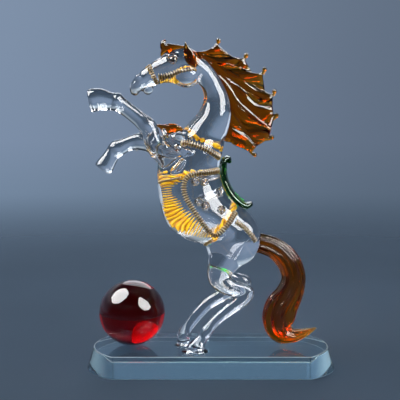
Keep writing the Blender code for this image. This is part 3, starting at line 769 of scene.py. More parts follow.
    def build(self) -> Object:
        """Builds the body and grinds its feet flat on the base.

        Returns:
            The finished piece.
        """
        mesh = bmesh.new()
        Loft(self.trunk_sections(), sides=48, roundness=(0.25, 0.5)).add_to(mesh)
        for leg in self.legs:
            sections = limb_sections(self.figure, spline(leg, steps=6))
            Loft(sections, sides=32, roundness=(0.8, 0.15)).add_to(mesh)
        for fold in self.folds:
            for side in Flank:
                rows = [(x, y * side.value, *rest) for x, y, *rest in spline(fold, steps=5)]
                Loft(limb_sections(self.figure, rows), sides=20).add_to(mesh)
        for x, y, z, *half_sizes in self.masses:
            for turned in sorted({y, -y}):
                self.add_mass(mesh, self.figure.at(x, turned, z), tuple(half_sizes))
        for x, y, *half_sizes in self.puddles:
            self.add_mass(mesh, self.figure.at(x, y, 0.0), tuple(half_sizes))
        piece = place_mesh("horse_body", mesh, CLEAR_GLASS.material())
        melt(piece, self.voxel, self.passes)
        self.stand(piece)
        hand_over(piece, "clear_glass", "horse")
        return piece

    def stand(self, piece: Object) -> None:
        """Cuts the feet off level with the CAD body's lowest point.

        Args:
            piece: the body.
        """
        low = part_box("horse")[0].z
        mesh = bmesh.new()
        mesh.from_mesh(piece.data)
        everything = [*mesh.verts, *mesh.edges, *mesh.faces]
        cut = bmesh.ops.bisect_plane(mesh, geom=everything, plane_co=(0, 0, low),
                                     plane_no=(0, 0, -1), clear_outer=True)
        rim = [part for part in cut["geom_cut"] if isinstance(part, BMEdge)]
        bmesh.ops.edgeloop_fill(mesh, edges=rim)
        mesh.to_mesh(piece.data)
        mesh.free()
        piece.data.shade_smooth()
        piece.data.set_sharp_from_angle(angle=math.radians(50))


@dataclass(frozen=True)
class Strand:
    """A line of the mane's flow from the crest to the edge, as a cubic curve in side view."""

    control: tuple[tuple[float, float], ...]

    def point(self, t: float) -> tuple[float, float]:
        """The place along the line.

        Args:
            t: from 0 at the crest to 1 at the edge.

        Returns:
            x and z in the horse's measure.
        """
        weights = ((1 - t) ** 3, 3 * t * (1 - t) ** 2, 3 * t * t * (1 - t), t ** 3)
        return (sum(weight * place[0] for weight, place in zip(weights, self.control)),
                sum(weight * place[1] for weight, place in zip(weights, self.control)))


@dataclass
class Mane:
    """The amber fan: a pressed sheet whose grooves sweep from the poll to seven hooked tips."""

    figure: Figure
    lines: int = 260
    stages: int = 64
    voxel: float = 0.45 * MM
    passes: int = 5
    # Half thickness at the crest and at the edge, and the height of the grooves' ridges, in metres
    half_thickness: tuple[float, float] = (3.0 * MM, 1.7 * MM)
    lobe_height: float = 0.75 * MM
    groove_height: float = 0.55 * MM
    streak_height: float = 0.16 * MM
    # How far the edge leans out of the mid-plane, and its half waves to each turn of the edge
    wave: float = 0.9
    wave_rate: float = 0.75
    # Grooves and streaks to each turn of the edge, the streaks' lean, and the grooves' drift: its
    # size, its rate along a flow line and its rate along the edge
    grooves: float = 2.37
    streaks: float = 6.9
    streak_lean: float = 2.0
    drift: Row = (0.35, 4.1, 0.9)
    # Share of the ridges' height that the crest has, and where the sheet thins at its rims: as
    # shares of a flow line and of the edge
    crest_ridge: float = 0.25
    rims: Row = (0.07, 0.03)
    thinnest: float = 0.02 * MM
    # How strongly a flow line holds its headings
    hold: float = 0.43
    # The rods: share of a flow line that they follow, and their stages
    rod_span: float = 0.2
    rod_stages: int = 8
    # The hooks: radius of the rod and of its bead, reach past the sheet and upward turn in degrees
    rod_radius: float = 0.52
    bead_radius: float = 0.78
    hook_reach: float = 1.15
    hook_turn: float = 40.0
    tip_draw_in: float = 1.0
    # How the flow lines bunch at the poll, how they leave the crest, how hollow the scallops are
    bunching: float = 2.3
    leaving: tuple[float, float] = (-22.0, -78.0)
    hollow: float = 2.1
    crest: Rows = ((-6.8, 96.6), (-3.9, 95.2), (-1.2, 92.6), (1.5, 89.4), (4.1, 85.0),
                   (5.6, 81.2), (6.2, 77.3), (5.9, 73.7), (5.2, 70.9), (4.2, 68.0))
    edge: Rows = ((-1.0, 96.6), (2.5, 99.2), (6.9, 94.4), (11.3, 94.6), (13.3, 89.3),
                  (17.1, 90.0), (17.3, 83.6), (20.3, 83.1), (19.8, 78.8), (21.0, 75.4),
                  (19.2, 71.1), (19.4, 68.4), (14.6, 65.8), (13.5, 63.2), (6.8, 66.6))
    headings: Row = (10.0, 50.0, -8.0, 40.0, -24.0, 42.0, -32.0, 45.0, -36.0, 32.0, -42.0,
                     10.0, -52.0, -52.0, -62.0)

    @property
    def last(self) -> int:
        """The number of the edge's last turn."""
        return len(self.edge) - 1

    def sway(self, place: float) -> float:
        """How far the edge leans out of the mid-plane at a place counted in turns."""
        return self.wave * math.sin(place * math.pi * self.wave_rate)

    def edge_place(self, index: int) -> Row:
        """One turn of the sheet's edge, drawn in where a hook carries on from it.

        Args:
            index: which turn; the odd ones are the tips.

        Returns:
            x and z in the horse's measure.
        """
        x, z = self.edge[index]
        if index % 2 == 0:
            return (x, z)
        heading = math.radians(self.headings[index])
        return (x - self.tip_draw_in * math.cos(heading), z - self.tip_draw_in * math.sin(heading))

    def strand(self, share: float) -> Strand:
        """The flow line that ends at a share of the edge.

        Args:
            share: from 0 by the poll to 1 by the withers.

        Returns:
            The line.
        """
        crest = spline(self.crest, steps=12)
        along = share ** self.bunching * (len(crest) - 1)
        first = min(int(along), len(crest) - 2)
        part = along - first
        root = [a + (b - a) * part for a, b in zip(crest[first], crest[first + 1])]
        place = share * self.last
        before = min(int(place), self.last - 1)
        rest = place - before
        if before % 2:
            rest = 1.0 - (1.0 - rest) ** self.hollow
        else:
            rest = rest ** self.hollow
        turns = zip(self.edge_place(before), self.edge_place(before + 1))
        end = [a + (b - a) * rest for a, b in turns]
        turn = self.headings[before] + (self.headings[before + 1] - self.headings[before]) * rest
        heading = math.radians(turn)
        leaving = math.radians(self.leaving[0] + (self.leaving[1] - self.leaving[0])
                               * share ** self.bunching)
        reach = math.dist(root, end) * self.hold
        return Strand((tuple(root),
                       (root[0] + reach * math.cos(leaving), root[1] + reach * math.sin(leaving)),
                       (end[0] - reach * math.cos(heading), end[1] - reach * math.sin(heading)),
                       tuple(end)))

    def half(self, share: float, t: float) -> float:
        """Half the sheet's thickness at a place.

        Args:
            share: which flow line.
            t: how far along it.

        Returns:
            The half thickness in metres.
        """
        place = share * self.last
        size, along, across = self.drift
        drift = place + size * math.sin(along * t + across * place)
        ridge = (self.lobe_height * math.cos(math.pi * (place - 1))
                 + self.groove_height * math.cos(math.pi * self.grooves * drift)
                 + self.streak_height * math.cos(math.pi * self.streaks * drift
                                                  + self.streak_lean * t))
        thick = self.half_thickness[0] + (self.half_thickness[1] - self.half_thickness[0]) * t
        end, side = self.rims
        rim = min((1.0 - t) / end, share / side, (1.0 - share) / side, 1.0)
        raised = ridge * (self.crest_ridge + (1.0 - self.crest_ridge) * t)
        return (thick + raised) * math.sqrt(max(0.0, 1.0 - (1.0 - rim) ** 2))

    def sheet(self, mesh: BMesh) -> None:
        """Adds the grooved sheet.

        Args:
            mesh: the mesh that gets it.
        """
        sides = {-1: [], 1: []}
        for line in range(self.lines + 1):
            share = line / self.lines
            strand = self.strand(share)
            sway = self.sway(share * self.last)
            rows = {-1: [], 1: []}
            for stage in range(self.stages + 1):
                t = stage / self.stages
                x, z = strand.point(t)
                middle = self.figure.at(x, sway * t * t, z)
                lift = Vector((0, max(self.half(share, t), self.thinnest), 0))
                for side in rows:
                    rows[side].append(mesh.verts.new(middle + lift * side))
            for side, row in rows.items():
                sides[side].append(row)
        for side, rows in sides.items():
            for row, after in zip(rows, rows[1:]):
                for stage in range(self.stages):
                    face = (row[stage], row[stage + 1], after[stage + 1], after[stage])
                    mesh.faces.new(face if side < 0 else tuple(reversed(face)))
        front, back = sides[-1], sides[1]
        rim = [(front[0], back[0]), (back[-1], front[-1])]
        rim.append(([row[-1] for row in front], [row[-1] for row in back]))
        rim.append(([row[0] for row in back], [row[0] for row in front]))
        for near, far in rim:
            for index in range(len(near) - 1):
                mesh.faces.new((near[index], far[index], far[index + 1], near[index + 1]))

    def hooks(self, mesh: BMesh) -> None:
        """Adds the round rod and the bead that end each tip.

        Args:
            mesh: the mesh that gets them.
        """
        for tip in range(1, len(self.edge), 2):
            strand = self.strand(tip / self.last)
            sway = self.sway(tip)
            rows = []
            steps = self.rod_stages
            for stage in range(steps):
                t = 1.0 - self.rod_span + self.rod_span * stage / steps
                x, z = strand.point(t)
                rows.append((x, sway * t * t, z, self.rod_radius, self.rod_radius))
            x, z = strand.point(1.0)
            for step in range(steps + 1):
                rows.append((x, sway, z, self.rod_radius, self.rod_radius))
                heading = math.radians(self.headings[tip] + self.hook_turn * step / steps)
                x += self.hook_reach / steps * math.cos(heading)
                z += self.hook_reach / steps * math.sin(heading)
            Loft(limb_sections(self.figure, rows), sides=16).add_to(mesh)
            made = bmesh.ops.create_icosphere(mesh, subdivisions=3,
                                              radius=self.bead_radius * self.figure.unit)
            bmesh.ops.translate(mesh, verts=made["verts"], vec=self.figure.at(x, sway, z))

    def build(self) -> None:
        """Builds the fan."""
        mesh = bmesh.new()
        self.sheet(mesh)
        bmesh.ops.recalc_face_normals(mesh, faces=mesh.faces)
        self.hooks(mesh)
        piece = place_mesh("mane_fan", mesh, AMBER_GLASS.material())
        melt(piece, self.voxel, self.passes)
        hand_over(piece, "amber_glass", "mane")


@dataclass
class Tail:
    """The amber tail: a ribbed rope that twists a little and ends in a flick."""

    figure: Figure
    ribs: int = 6
    rib_depth: float = 0.13
    twist: float = 1.6 * math.pi
    rows: Rows = (
        (14.4, 0.5, 34.7, 2.5, 2.4), (16.7, 0.7, 34.3, 2.8, 2.7), (20.6, 1.1, 32.8, 3.0, 2.9),
        (24.0, 1.5, 30.0, 3.3, 3.0), (26.2, 1.8, 26.4, 3.4, 3.1), (27.0, 2.1, 22.1, 3.5, 3.1),
        (25.6, 2.4, 17.5, 4.0, 3.2), (23.0, 2.6, 12.8, 4.9, 3.4), (22.2, 2.6, 8.6, 4.9, 3.4),
        (23.4, 2.6, 5.0, 3.8, 3.0), (26.6, 2.5, 3.7, 2.2, 2.3), (29.8, 2.4, 4.3, 1.5, 1.6),
        (32.6, 2.3, 5.4, 0.8, 0.9), (34.4, 2.3, 6.2, 0.25, 0.3),
    )

    def build(self) -> None:
        """Builds the tail."""
        mesh = bmesh.new()
        sections = limb_sections(self.figure, spline(self.rows, steps=8))
        Loft(sections, sides=84, roundness=(0.3, 0.8), ribs=self.ribs, rib_depth=self.rib_depth,
             twist=self.twist).add_to(mesh)
        piece = place_mesh("tail_rope", mesh, TAIL_GLASS.material())
        hand_over(piece, "amber_glass", "tail")


@dataclass
class Tufts:
    """The small amber tufts: forelock, ears and the plume at the breast."""

    figure: Figure
    voxel: float = 0.35 * MM
    forelock: tuple[Rows, ...] = (
        ((-8.6, 0.0, 97.4, 0.5, 0.9), (-11.0, 0.0, 97.6, 0.8, 1.1), (-13.4, 0.0, 97.2, 1.6, 1.3),
         (-14.9, 0.0, 97.4, 1.3, 1.1), (-15.3, 0.0, 98.8, 0.8, 0.8),
         (-14.6, 0.0, 99.6, 0.35, 0.4)),
        ((-13.6, 0.0, 97.2, 1.4, 1.2), (-15.2, 0.0, 96.2, 0.9, 1.0),
         (-15.9, 0.0, 94.9, 0.35, 0.6)),
    )
    ear: Rows = ((-5.3, 3.4, 91.6, 0.9, 0.8), (-6.2, 3.8, 93.2, 1.7, 0.9),
                 (-7.0, 4.3, 95.0, 1.7, 0.8), (-7.7, 4.8, 96.8, 1.1, 0.6),
                 (-8.1, 5.2, 98.5, 0.3, 0.3))
    # Amber drawn down the front of the neck, sealed in the clear glass
    streak: Rows = ((-3.4, 0.0, 86.2, 0.5, 0.6), (-1.7, 0.0, 84.2, 0.75, 0.8),
                    (-1.1, 0.0, 81.6, 0.7, 0.7), (-2.2, 0.0, 78.5, 0.6, 0.6),
                    (-4.5, 0.0, 75.6, 0.45, 0.5), (-7.3, 0.0, 72.9, 0.3, 0.3))
    plume: Rows = ((-9.7, 0.0, 71.6, 0.7, 0.9), (-12.0, 0.0, 71.9, 1.5, 1.2),
                   (-14.4, 0.0, 71.6, 1.6, 1.1), (-16.2, 0.0, 72.4, 0.7, 0.8),
                   (-17.8, 0.0, 72.7, 0.25, 0.3))

    def tuft(self, name: str, runs: tuple[Rows, ...], *nodes: str) -> None:
        """Builds one tuft.

        Args:
            name: the piece's name.
            runs: the pulled runs of glass that it is made of.
            *nodes: the CAD nodes that it stands for.
        """
        mesh = bmesh.new()
        for rows in runs:
            sections = limb_sections(self.figure, spline(rows, steps=5))
            Loft(sections, sides=20, ribs=3, rib_depth=0.06, twist=1.0).add_to(mesh)
        piece = place_mesh(name, mesh, AMBER_GLASS.material())
        melt(piece, self.voxel, passes=3)
        hand_over(piece, "amber_glass", *nodes)

    def build(self) -> None:
        """Builds the four tufts and the streak in the neck."""
        near_ear = tuple((row[0], -row[1], *row[2:]) for row in self.ear)
        self.tuft("forelock_tuft", self.forelock, "forelock")
        self.tuft("left_ear", (near_ear,), "ear_left")
        self.tuft("right_ear", (self.ear,), "ear_right")
        self.tuft("breast_plume", (self.plume,), "chest_plume")
        self.tuft("throat_streak", (self.streak,))


@dataclass
class Saddle:
    """The green strap of glass along the back, both ends turned up."""

    figure: Figure
    # x, z, half thickness, half width
    rows: Rows = ((5.9, 61.0, 0.7, 2.6), (5.6, 62.0, 0.9, 3.2), (4.6, 62.0, 1.0, 3.8),
                  (4.0, 60.4, 1.2, 4.3), (3.9, 57.6, 1.3, 4.6), (4.6, 54.4, 1.3, 4.7),
                  (6.3, 51.0, 1.3, 4.8), (8.9, 48.3, 1.4, 4.7), (11.1, 47.0, 1.3, 4.2),
                  (12.8, 47.5, 0.9, 3.4))

    def build(self) -> None:
        """Builds the strap."""
        mesh = bmesh.new()
        rows = [(x, 0.0, z, thick, wide) for x, z, thick, wide in spline(self.rows, steps=8)]
        Loft(limb_sections(self.figure, rows), sides=40).add_to(mesh)
        piece = place_mesh("saddle_strap", mesh, GREEN_GLASS.material())
        hand_over(piece, "green_glass", "saddle")


@dataclass
class Skin:
    """Finds places on the clear body's flanks."""

    figure: Figure
    body: Object
    # Where a look at the flank starts, and where the nearest skin is sought if it finds none
    reach: float = 25.0
    near: float = 2.0
    tree: BVHTree = field(init=False)

    def __post_init__(self) -> None:
        """Reads the body once."""
        self.tree = BVHTree.FromObject(self.body, bpy.context.evaluated_depsgraph_get())

    def spot(self, x: float, z: float, flank: Flank) -> tuple[Vector, Vector]:
        """A place on a flank in side view.

        Args:
            x: along the base, in the horse's measure.
            z: above the base's top.
            flank: which side.

        Returns:
            The point on the skin and the direction out of it.
        """
        outside = self.figure.at(x, flank.value * self.reach, z)
        hit, normal, _, _ = self.tree.ray_cast(outside, Vector((0, -flank.value, 0)))
        if hit is None:
            inside = self.figure.at(x, flank.value * self.near, z)
            hit, normal, _, _ = self.tree.find_nearest(inside)
        return hit, normal


@dataclass
class Thread:
    """One ribbed glass thread of the harness, in side view, with its size in metres."""

    name: str
    path: Rows
    width: float
    height: float
    rib_pitch: float = 1.5 * MM
    taper: float = 1.0
    far_path: Rows = ()
    far_width: float = 0.0

    def side_view(self, flank: Flank) -> Rows:
        """The path on one flank."""
        return self.far_path if self.far_path and flank is Flank.RIGHT else self.path

    def width_on(self, flank: Flank) -> float:
        """The width on one flank."""
        return self.far_width if self.far_width and flank is Flank.RIGHT else self.width


@dataclass
class Harness:
    """The gold glass threads on both flanks."""

    skin: Skin
    sides: int = 12
    stages_per_rib: int = 6
    rib_depth: float = 0.5
    caps: int = 2
    # How high a thread's middle stands over the skin, as a share of its height, and how low on a
    # section, as the sine of its angle, the side that is fused to the body begins
    rise: float = 0.25
    fused_below: float = -0.2
    threads: tuple[Thread, ...] = (
        Thread("breast_collar", ((-9.3, 67.4), (-7.2, 67.2), (-4.8, 66.6), (-2.0, 65.5),
                                 (0.6, 64.0), (2.2, 62.8)), 5.4 * MM, 2.4 * MM, 1.9 * MM),
        Thread("saddle_cloth_trim", ((1.9, 58.5), (-0.1, 58.3), (-3.3, 58.1), (-5.8, 57.7),
                                     (-7.5, 56.8), (-8.5, 55.0), (-8.5, 52.5), (-7.7, 50.0),
                                     (-6.1, 47.3), (-4.0, 44.2), (-2.0, 41.4), (-0.2, 39.3),
                                     (1.5, 38.6), (3.5, 40.1), (5.6, 42.6), (7.4, 45.2)),
               4.8 * MM, 2.2 * MM, 1.8 * MM, far_width=6.0 * MM,
               far_path=((1.9, 57.1), (-0.1, 56.8), (-3.2, 56.6), (-5.4, 56.5), (-7.2, 56.0),
                         (-8.6, 54.9), (-9.5, 53.3), (-9.65, 51.8), (-9.25, 50.0), (-8.5, 48.1),
                         (-7.4, 45.55), (-5.6, 43.3), (-3.1, 41.3), (-0.8, 39.9), (1.6, 39.3),
                         (4.4, 41.3), (7.4, 45.2))),
        Thread("front_girth", ((-9.6, 56.7), (-11.1, 56.3), (-13.0, 55.8), (-15.2, 55.2),
                               (-16.4, 54.8)), 2.0 * MM, 1.4 * MM, 1.0 * MM),
        Thread("rear_girth", ((0.1, 36.9), (-0.7, 36.2), (-1.4, 35.6), (-2.0, 35.0)),
               2.0 * MM, 1.4 * MM, 1.0 * MM),
        Thread("crupper", ((8.0, 42.4), (9.5, 41.4), (11.2, 39.9), (12.8, 38.0), (13.8, 36.5)),
               4.6 * MM, 2.0 * MM, 1.8 * MM),
        Thread("noseband", ((-19.6, 91.4), (-18.9, 89.6), (-18.0, 87.7), (-17.3, 86.3)),
               3.8 * MM, 1.8 * MM, 1.7 * MM),
        Thread("cheek_strap", ((-16.4, 87.8), (-15.0, 88.0), (-12.8, 88.6), (-10.8, 89.5),
                               (-8.4, 90.0), (-5.6, 90.2)), 7.6 * MM, 1.8 * MM, 2.0 * MM, 0.24),
    )

    def stations(self, thread: Thread, flank: Flank) -> list[tuple[Vector, Vector]]:
        """Places on the skin along a thread, evenly spaced, a few to each rib.

        Args:
            thread: the thread.
            flank: which side.

        Returns:
            Points with the direction out of the skin.
        """
        curve = spline(thread.side_view(flank), steps=6)
        rough = [self.skin.spot(x, z, flank) for x, z in curve]
        lengths = [0.0]
        for (here, _), (after, _) in zip(rough, rough[1:]):
            lengths.append(lengths[-1] + (after - here).length)
        count = max(8, round(lengths[-1] / thread.rib_pitch) * self.stages_per_rib)
        result = []
        segment = 0
        for index in range(count + 1):
            goal = lengths[-1] * index / count
            while segment < len(rough) - 2 and lengths[segment + 1] < goal:
                segment += 1
            span = lengths[segment + 1] - lengths[segment]
            share = (goal - lengths[segment]) / span if span > 0 else 0.0
            place = rough[segment][0].lerp(rough[segment + 1][0], share)
            out = rough[segment][1].lerp(rough[segment + 1][1], share).normalized()
            result.append((place, out))
        return result

    def lay(self, thread: Thread, flank: Flank, material: Material) -> None:
        """Builds one thread.

        Args:
            thread: the thread.
            flank: which side.
            material: its finish.
        """
        spots = self.stations(thread, flank)
        sections = []
        crests = []
        for index, (spot, out) in enumerate(spots):
            before = spots[max(index - 1, 0)][0]
            after = spots[min(index + 1, len(spots) - 1)][0]
            run = (after - before).normalized()
            across = run.cross(out).normalized()
            lift = across.cross(run).normalized()
            if lift.dot(out) < 0:
                lift = -lift
            crest = 0.5 + 0.5 * math.cos(2 * math.pi * index / self.stages_per_rib)
            swell = 1.0 - self.rib_depth * (1.0 - crest)
            share = 1.0 + (thread.taper - 1.0) * index / (len(spots) - 1)
            middle = spot + lift * (thread.height * self.rise)
            half = share * swell * thread.width_on(flank) / 2
            above = swell * thread.height * (1.0 - self.rise)
            sections.append(Section(middle, across * half, lift * above))
            crests.append(crest)
        mesh = bmesh.new()
        loops = Loft(sections, self.sides, roundness=(0.6, 0.6), caps=self.caps).add_to(mesh)
        rib_values = [0.5] * len(mesh.verts)
        under_values = [0.0] * len(mesh.verts)
        mesh.verts.index_update()
        for ring_index, loop in enumerate(loops):
            crest = crests[min(max(ring_index - self.caps + 1, 0), len(crests) - 1)]
            for side_index, vert in enumerate(loop):
                lifted = math.sin(2 * math.pi * side_index / self.sides)
                rib_values[vert.index] = crest
                under_values[vert.index] = 1.0 if lifted < self.fused_below else 0.0
        name = f"{thread.name}_{flank.word}_thread"
        piece = place_mesh(name, mesh, material)
        # The rib values also set the thread finish's painted highlights on crests and painted
        # shade in grooves
        for label, values in (("rib", rib_values), ("under", under_values)):
            layer = piece.data.attributes.new(label, "FLOAT", "POINT")
            layer.data.foreach_set("value", values)
        hand_over(piece, "gold_thread_glass", f"{thread.name}_{flank.word}")

    def build(self) -> None:
        """Builds every thread on both flanks."""
        material = GoldThreadGlass().material()
        for flank in Flank:
            for thread in self.threads:
                self.lay(thread, flank, material)


@dataclass
class Beads:
    """The ringed prunts, the collar drops and the eyes."""

    skin: Skin
    prunt_radius: float = 3.3 * MM
    drop_radius: float = 2.9 * MM
    eye_radius: float = 3.1 * MM
    pupil_radius: float = 1.5 * MM
    prunts: Rows = ((-5.0, 55.5), (-2.2, 55.2), (2.4, 51.7), (-4.0, 49.1), (-1.8, 47.9),
                    (3.2, 46.4))
    far_prunt_drop: float = 0.9
    # How far a pupil is lifted off the skin, as a share of the eye bead's radius
    pupil_rise: float = 0.15
    sides: int = 32
    drop: Row = (-10.6, 66.0)
    eye: Row = (-12.1, 93.3)
    # Radius and height of a ringed bead's profile as shares of its radius
    ringed: Rows = ((0.0, 0.60), (0.14, 0.54), (0.26, 0.20), (0.38, 0.08), (0.5, 0.42),
                    (0.62, 0.54), (0.72, 0.24), (0.8, 0.18), (0.9, 0.36), (1.0, 0.06),
                    (1.0, -0.12))
    domed: Rows = ((0.0, 0.62), (0.25, 0.59), (0.5, 0.50), (0.72, 0.37), (0.88, 0.22),
                   (0.97, 0.08), (1.0, -0.05), (1.0, -0.12))

    def turned(self, name: str, place: Row, radius: float, profile: Rows, flank: Flank,
               material: Material) -> Object:
        """Turns a bead's profile on a flank.

        Args:
            name: the piece's name.
            place: its place in side view.
            radius: its radius in metres.
            profile: shares of the radius, from the middle out.
            flank: which side.
            material: its finish.

        Returns:
            The new object, not yet tied to the frame.
        """
        spot, out = self.skin.spot(place[0], place[1], flank)
        turn = Vector((0, 0, 1)).rotation_difference(out)
        mesh = bmesh.new()
        rows = spline(profile, steps=3)
        crown = mesh.verts.new(spot + out * (rows[0][1] * radius))
        heel = mesh.verts.new(spot + out * (rows[-1][1] * radius))
        loops = []
        for share, height in rows[1:]:
            wide = share * radius
            section = Section(spot + out * (height * radius), turn @ Vector((wide, 0, 0)),
                              turn @ Vector((0, wide, 0)))
            loops.append([mesh.verts.new(point) for point in section.ring(self.sides)])
        close_skin(mesh, loops, (crown, heel))
        return place_mesh(name, mesh, material)

    def build(self) -> None:
        """Builds the beads of both flanks."""
        clear = CLEAR_GLASS.material()
        black = PupilGlass().material()
        for flank in Flank:
            drop = self.far_prunt_drop if flank is Flank.RIGHT else 0.0
            for number, (x, z) in enumerate(self.prunts, start=1):
                node = f"prunt_{flank.word}_{number}"
                bead = self.turned(f"{node}_bead", (x, z - drop), self.prunt_radius, self.ringed,
                                   flank, clear)
                hand_over(bead, "clear_glass", node)
            for kind, place, radius, slot in (
                    ("collar_drop", self.drop, self.drop_radius, "clear_glass"),
                    ("eye", self.eye, self.eye_radius, "eye_glass")):
                node = f"{kind}_{flank.word}"
                bead = self.turned(f"{node}_bead", place, radius, self.domed, flank, clear)
                hand_over(bead, slot, node)
            pupil = self.turned(f"pupil_{flank.word}", self.eye, self.pupil_radius, self.domed,
                                flank, black)
            pupil.data.transform(self.sink(flank))
            hand_over(pupil, "eye_glass")

    def sink(self, flank: Flank) -> Matrix:
        """The move that lifts a pupil to just under its clear bead's crown."""
        _, out = self.skin.spot(self.eye[0], self.eye[1], flank)
        return Matrix.Translation(out * (self.eye_radius * self.pupil_rise))


class Role(Enum):
    """What a soft box serves."""

    MIRRORED = "seen on the skin of the glass"
    THROUGH = "seen through the figure"
    FILL = "lights the matt surfaces"


@dataclass(frozen=True)
class SoftBox:
    """A large soft box: where it hangs, how bright its face is and what it serves."""

    name: str
    place: tuple[float, float, float]
    size: float
    radiance: float
    colour: str
    role: Role

    def hang(self, aim: Vector) -> None:
        """Hangs the box so that it faces the figure.

        Args:
            aim: the point that it faces.
        """
        data = bpy.data.lights.new(self.name, "AREA")
        data.shape = "DISK"
        data.size = self.size
        face = math.pi * (self.size / 2) ** 2
        data.energy = self.radiance * math.pi * face
        data.color = linear(self.colour)[:3]
        lamp = bpy.data.objects.new(self.name, data)
        lamp.location = self.place
        lamp.rotation_euler = (aim - lamp.location).to_track_quat("-Z", "Y").to_euler()
        lamp.visible_camera = False
        lamp.visible_diffuse = self.role is Role.FILL
        lamp.visible_glossy = self.role is Role.MIRRORED
        lamp.visible_transmission = self.role is Role.THROUGH
        bpy.context.scene.collection.objects.link(lamp)
        if self.role is Role.THROUGH:
            self.spare(lamp)

    def spare(self, lamp: Object) -> None:
        """Keeps the box's light off the base, so that the paper under the plate isn't lit twice.

        Args:
            lamp: the box's lamp.
        """
        spared = bpy.data.collections.new(f"{self.name}_spared")
        spared.objects.link(bpy.data.objects["glass_base"])
        spared.collection_objects[0].light_linking.link_state = "EXCLUDE"
        lamp.light_linking.receiver_collection = spared


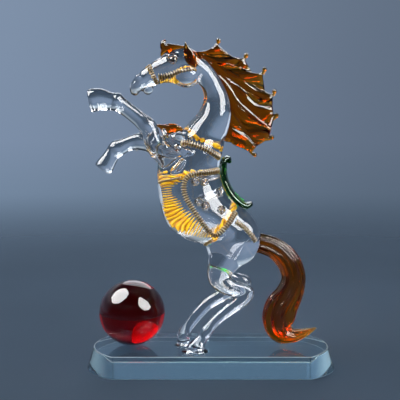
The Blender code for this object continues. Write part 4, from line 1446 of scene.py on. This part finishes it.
@dataclass
class Studio:
    """The plain floor, the soft boxes, the room's soft light and the camera."""

    floor_radius: float = 2.5
    camera_place: tuple[float, float, float] = (-0.0083, -0.800, 0.206)
    camera_pitch: float = 5.5
    focal_pixels: float = 1056.0
    frame_pixels: float = 400.0
    sensor_mm: float = 36.0
    aim: tuple[float, float, float] = (0.0, -0.01, 0.12)
    # How far the paper lies under the plate
    floor_gap: float = 0.0002
    # The room's colours from low to high
    sky: Stops = (
        (0.0, "#5f7084"), (0.1, "#6c7f95"), (0.16, "#7788a0"), (0.29, "#7a8ba2"),
        (0.38, "#70839a"), (0.48, "#70839a"), (0.6, "#b4c4d2"), (0.7, "#bccad6"),
        (0.85, "#56626e"), (1.0, "#1a1f25"))
    # Boxes seen in the glass, and boxes that light the matt surfaces
    boxes: tuple[SoftBox, ...] = (
        SoftBox("seen_left", (-0.79, -0.10, 1.11), 1.3, 16.0, "#ffffff", Role.MIRRORED),
        SoftBox("seen_right", (0.85, -0.53, 0.80), 1.1, 16.0, "#ffffff", Role.MIRRORED),
        SoftBox("seen_back", (0.1, 1.1, 1.0), 1.2, 2.6, "#f4f8ff", Role.MIRRORED),
        SoftBox("through_left", (-0.79, -0.10, 1.11), 0.9, 12.0, "#ffffff", Role.THROUGH),
        SoftBox("through_right", (0.85, -0.53, 0.80), 0.7, 12.0, "#ffffff", Role.THROUGH),
        SoftBox("through_front", (-0.35, -1.10, 0.90), 0.8, 40.0, "#ffffff", Role.THROUGH),
        SoftBox("through_west", (-1.20, 0.35, 0.35), 1.1, 0.7, "#eef6ff", Role.THROUGH),
        SoftBox("through_east", (1.20, 0.35, 0.35), 1.1, 0.7, "#eef6ff", Role.THROUGH),
        SoftBox("fill_left", (-0.9, -0.5, 1.2), 1.0, 1.2, "#f6f9ff", Role.FILL),
        SoftBox("fill_right", (0.7, -0.9, 0.9), 0.8, 0.7, "#ffffff", Role.FILL),
        SoftBox("fill_back", (0.1, 1.2, 1.25), 1.1, 2.0, "#f4f8ff", Role.FILL),
    )

    def floor(self) -> None:
        """Lays the paper floor."""
        mesh = bmesh.new()
        bmesh.ops.create_circle(mesh, cap_ends=True, segments=96, radius=self.floor_radius)
        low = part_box("base")[0].z
        bmesh.ops.translate(mesh, verts=mesh.verts, vec=(0.0, 0.0, low - self.floor_gap))
        place_mesh("studio_floor", mesh, StudioPaper().material())

    def room(self) -> None:
        """Fills the room with a soft blue-grey, light in front of the camera, dark behind it."""
        world = bpy.data.worlds.new("soft_room")
        bpy.context.scene.world = world
        world.use_nodes = True
        tree = world.node_tree
        place = add_node(tree, "ShaderNodeTexCoord")
        split = add_node(tree, "ShaderNodeSeparateXYZ",
                         links={"Vector": place.outputs["Generated"]})
        rise = add_node(tree, "ShaderNodeMapRange", {"From Min": -0.2, "From Max": 0.8},
                        {"Value": split.outputs["Z"]})
        colour = add_node(tree, "ShaderNodeValToRGB", links={"Fac": rise.outputs["Result"]},
                          stops=self.sky)
        drop = add_node(tree, "ShaderNodeMapRange",
                        {"From Min": -0.25, "From Max": 0.25, "To Min": 1.12, "To Max": 0.62},
                        {"Value": split.outputs["X"]}, interpolation_type="SMOOTHSTEP")
        behind = add_node(tree, "ShaderNodeMapRange",
                          {"From Min": -0.3, "From Max": 0.3, "To Min": 0.15, "To Max": 1.0},
                          {"Value": split.outputs["Y"]}, interpolation_type="SMOOTHSTEP")
        strength = add_node(tree, "ShaderNodeMath",
                            links={0: drop.outputs["Result"], 1: behind.outputs["Result"]},
                            operation="MULTIPLY")
        room = tree.nodes["Background"]
        tree.links.new(colour.outputs["Color"], room.inputs["Color"])
        tree.links.new(strength.outputs["Value"], room.inputs["Strength"])

    def camera(self) -> None:
        """Sets the camera at the photograph's viewing angle."""
        data = bpy.data.cameras.new("camera")
        data.sensor_width = self.sensor_mm
        data.lens = self.sensor_mm * self.focal_pixels / self.frame_pixels
        eye = bpy.data.objects.new("camera", data)
        eye.location = self.camera_place
        eye.rotation_euler = (math.radians(90 - self.camera_pitch), 0.0, 0.0)
        bpy.context.scene.collection.objects.link(eye)
        bpy.context.scene.camera = eye
        bpy.context.scene.view_settings.view_transform = "Standard"

    def build(self) -> None:
        """Sets up floor, room, boxes and camera."""
        self.floor()
        self.room()
        for box in self.boxes:
            box.hang(Vector(self.aim))
        self.camera()


def main() -> None:
    """Builds the figure and its studio."""
    logging.basicConfig(level=logging.INFO, format="%(message)s")
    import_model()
    figure = Figure(floor=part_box("base")[1].z)
    GlassBase().build()
    RubyBall().build()
    body = HorseBody(figure).build()
    Mane(figure).build()
    Tail(figure).build()
    Tufts(figure).build()
    Saddle(figure).build()
    skin = Skin(figure, body)
    Harness(skin).build()
    Beads(skin).build()
    Studio().build()


if __name__ == "__main__":
    main()
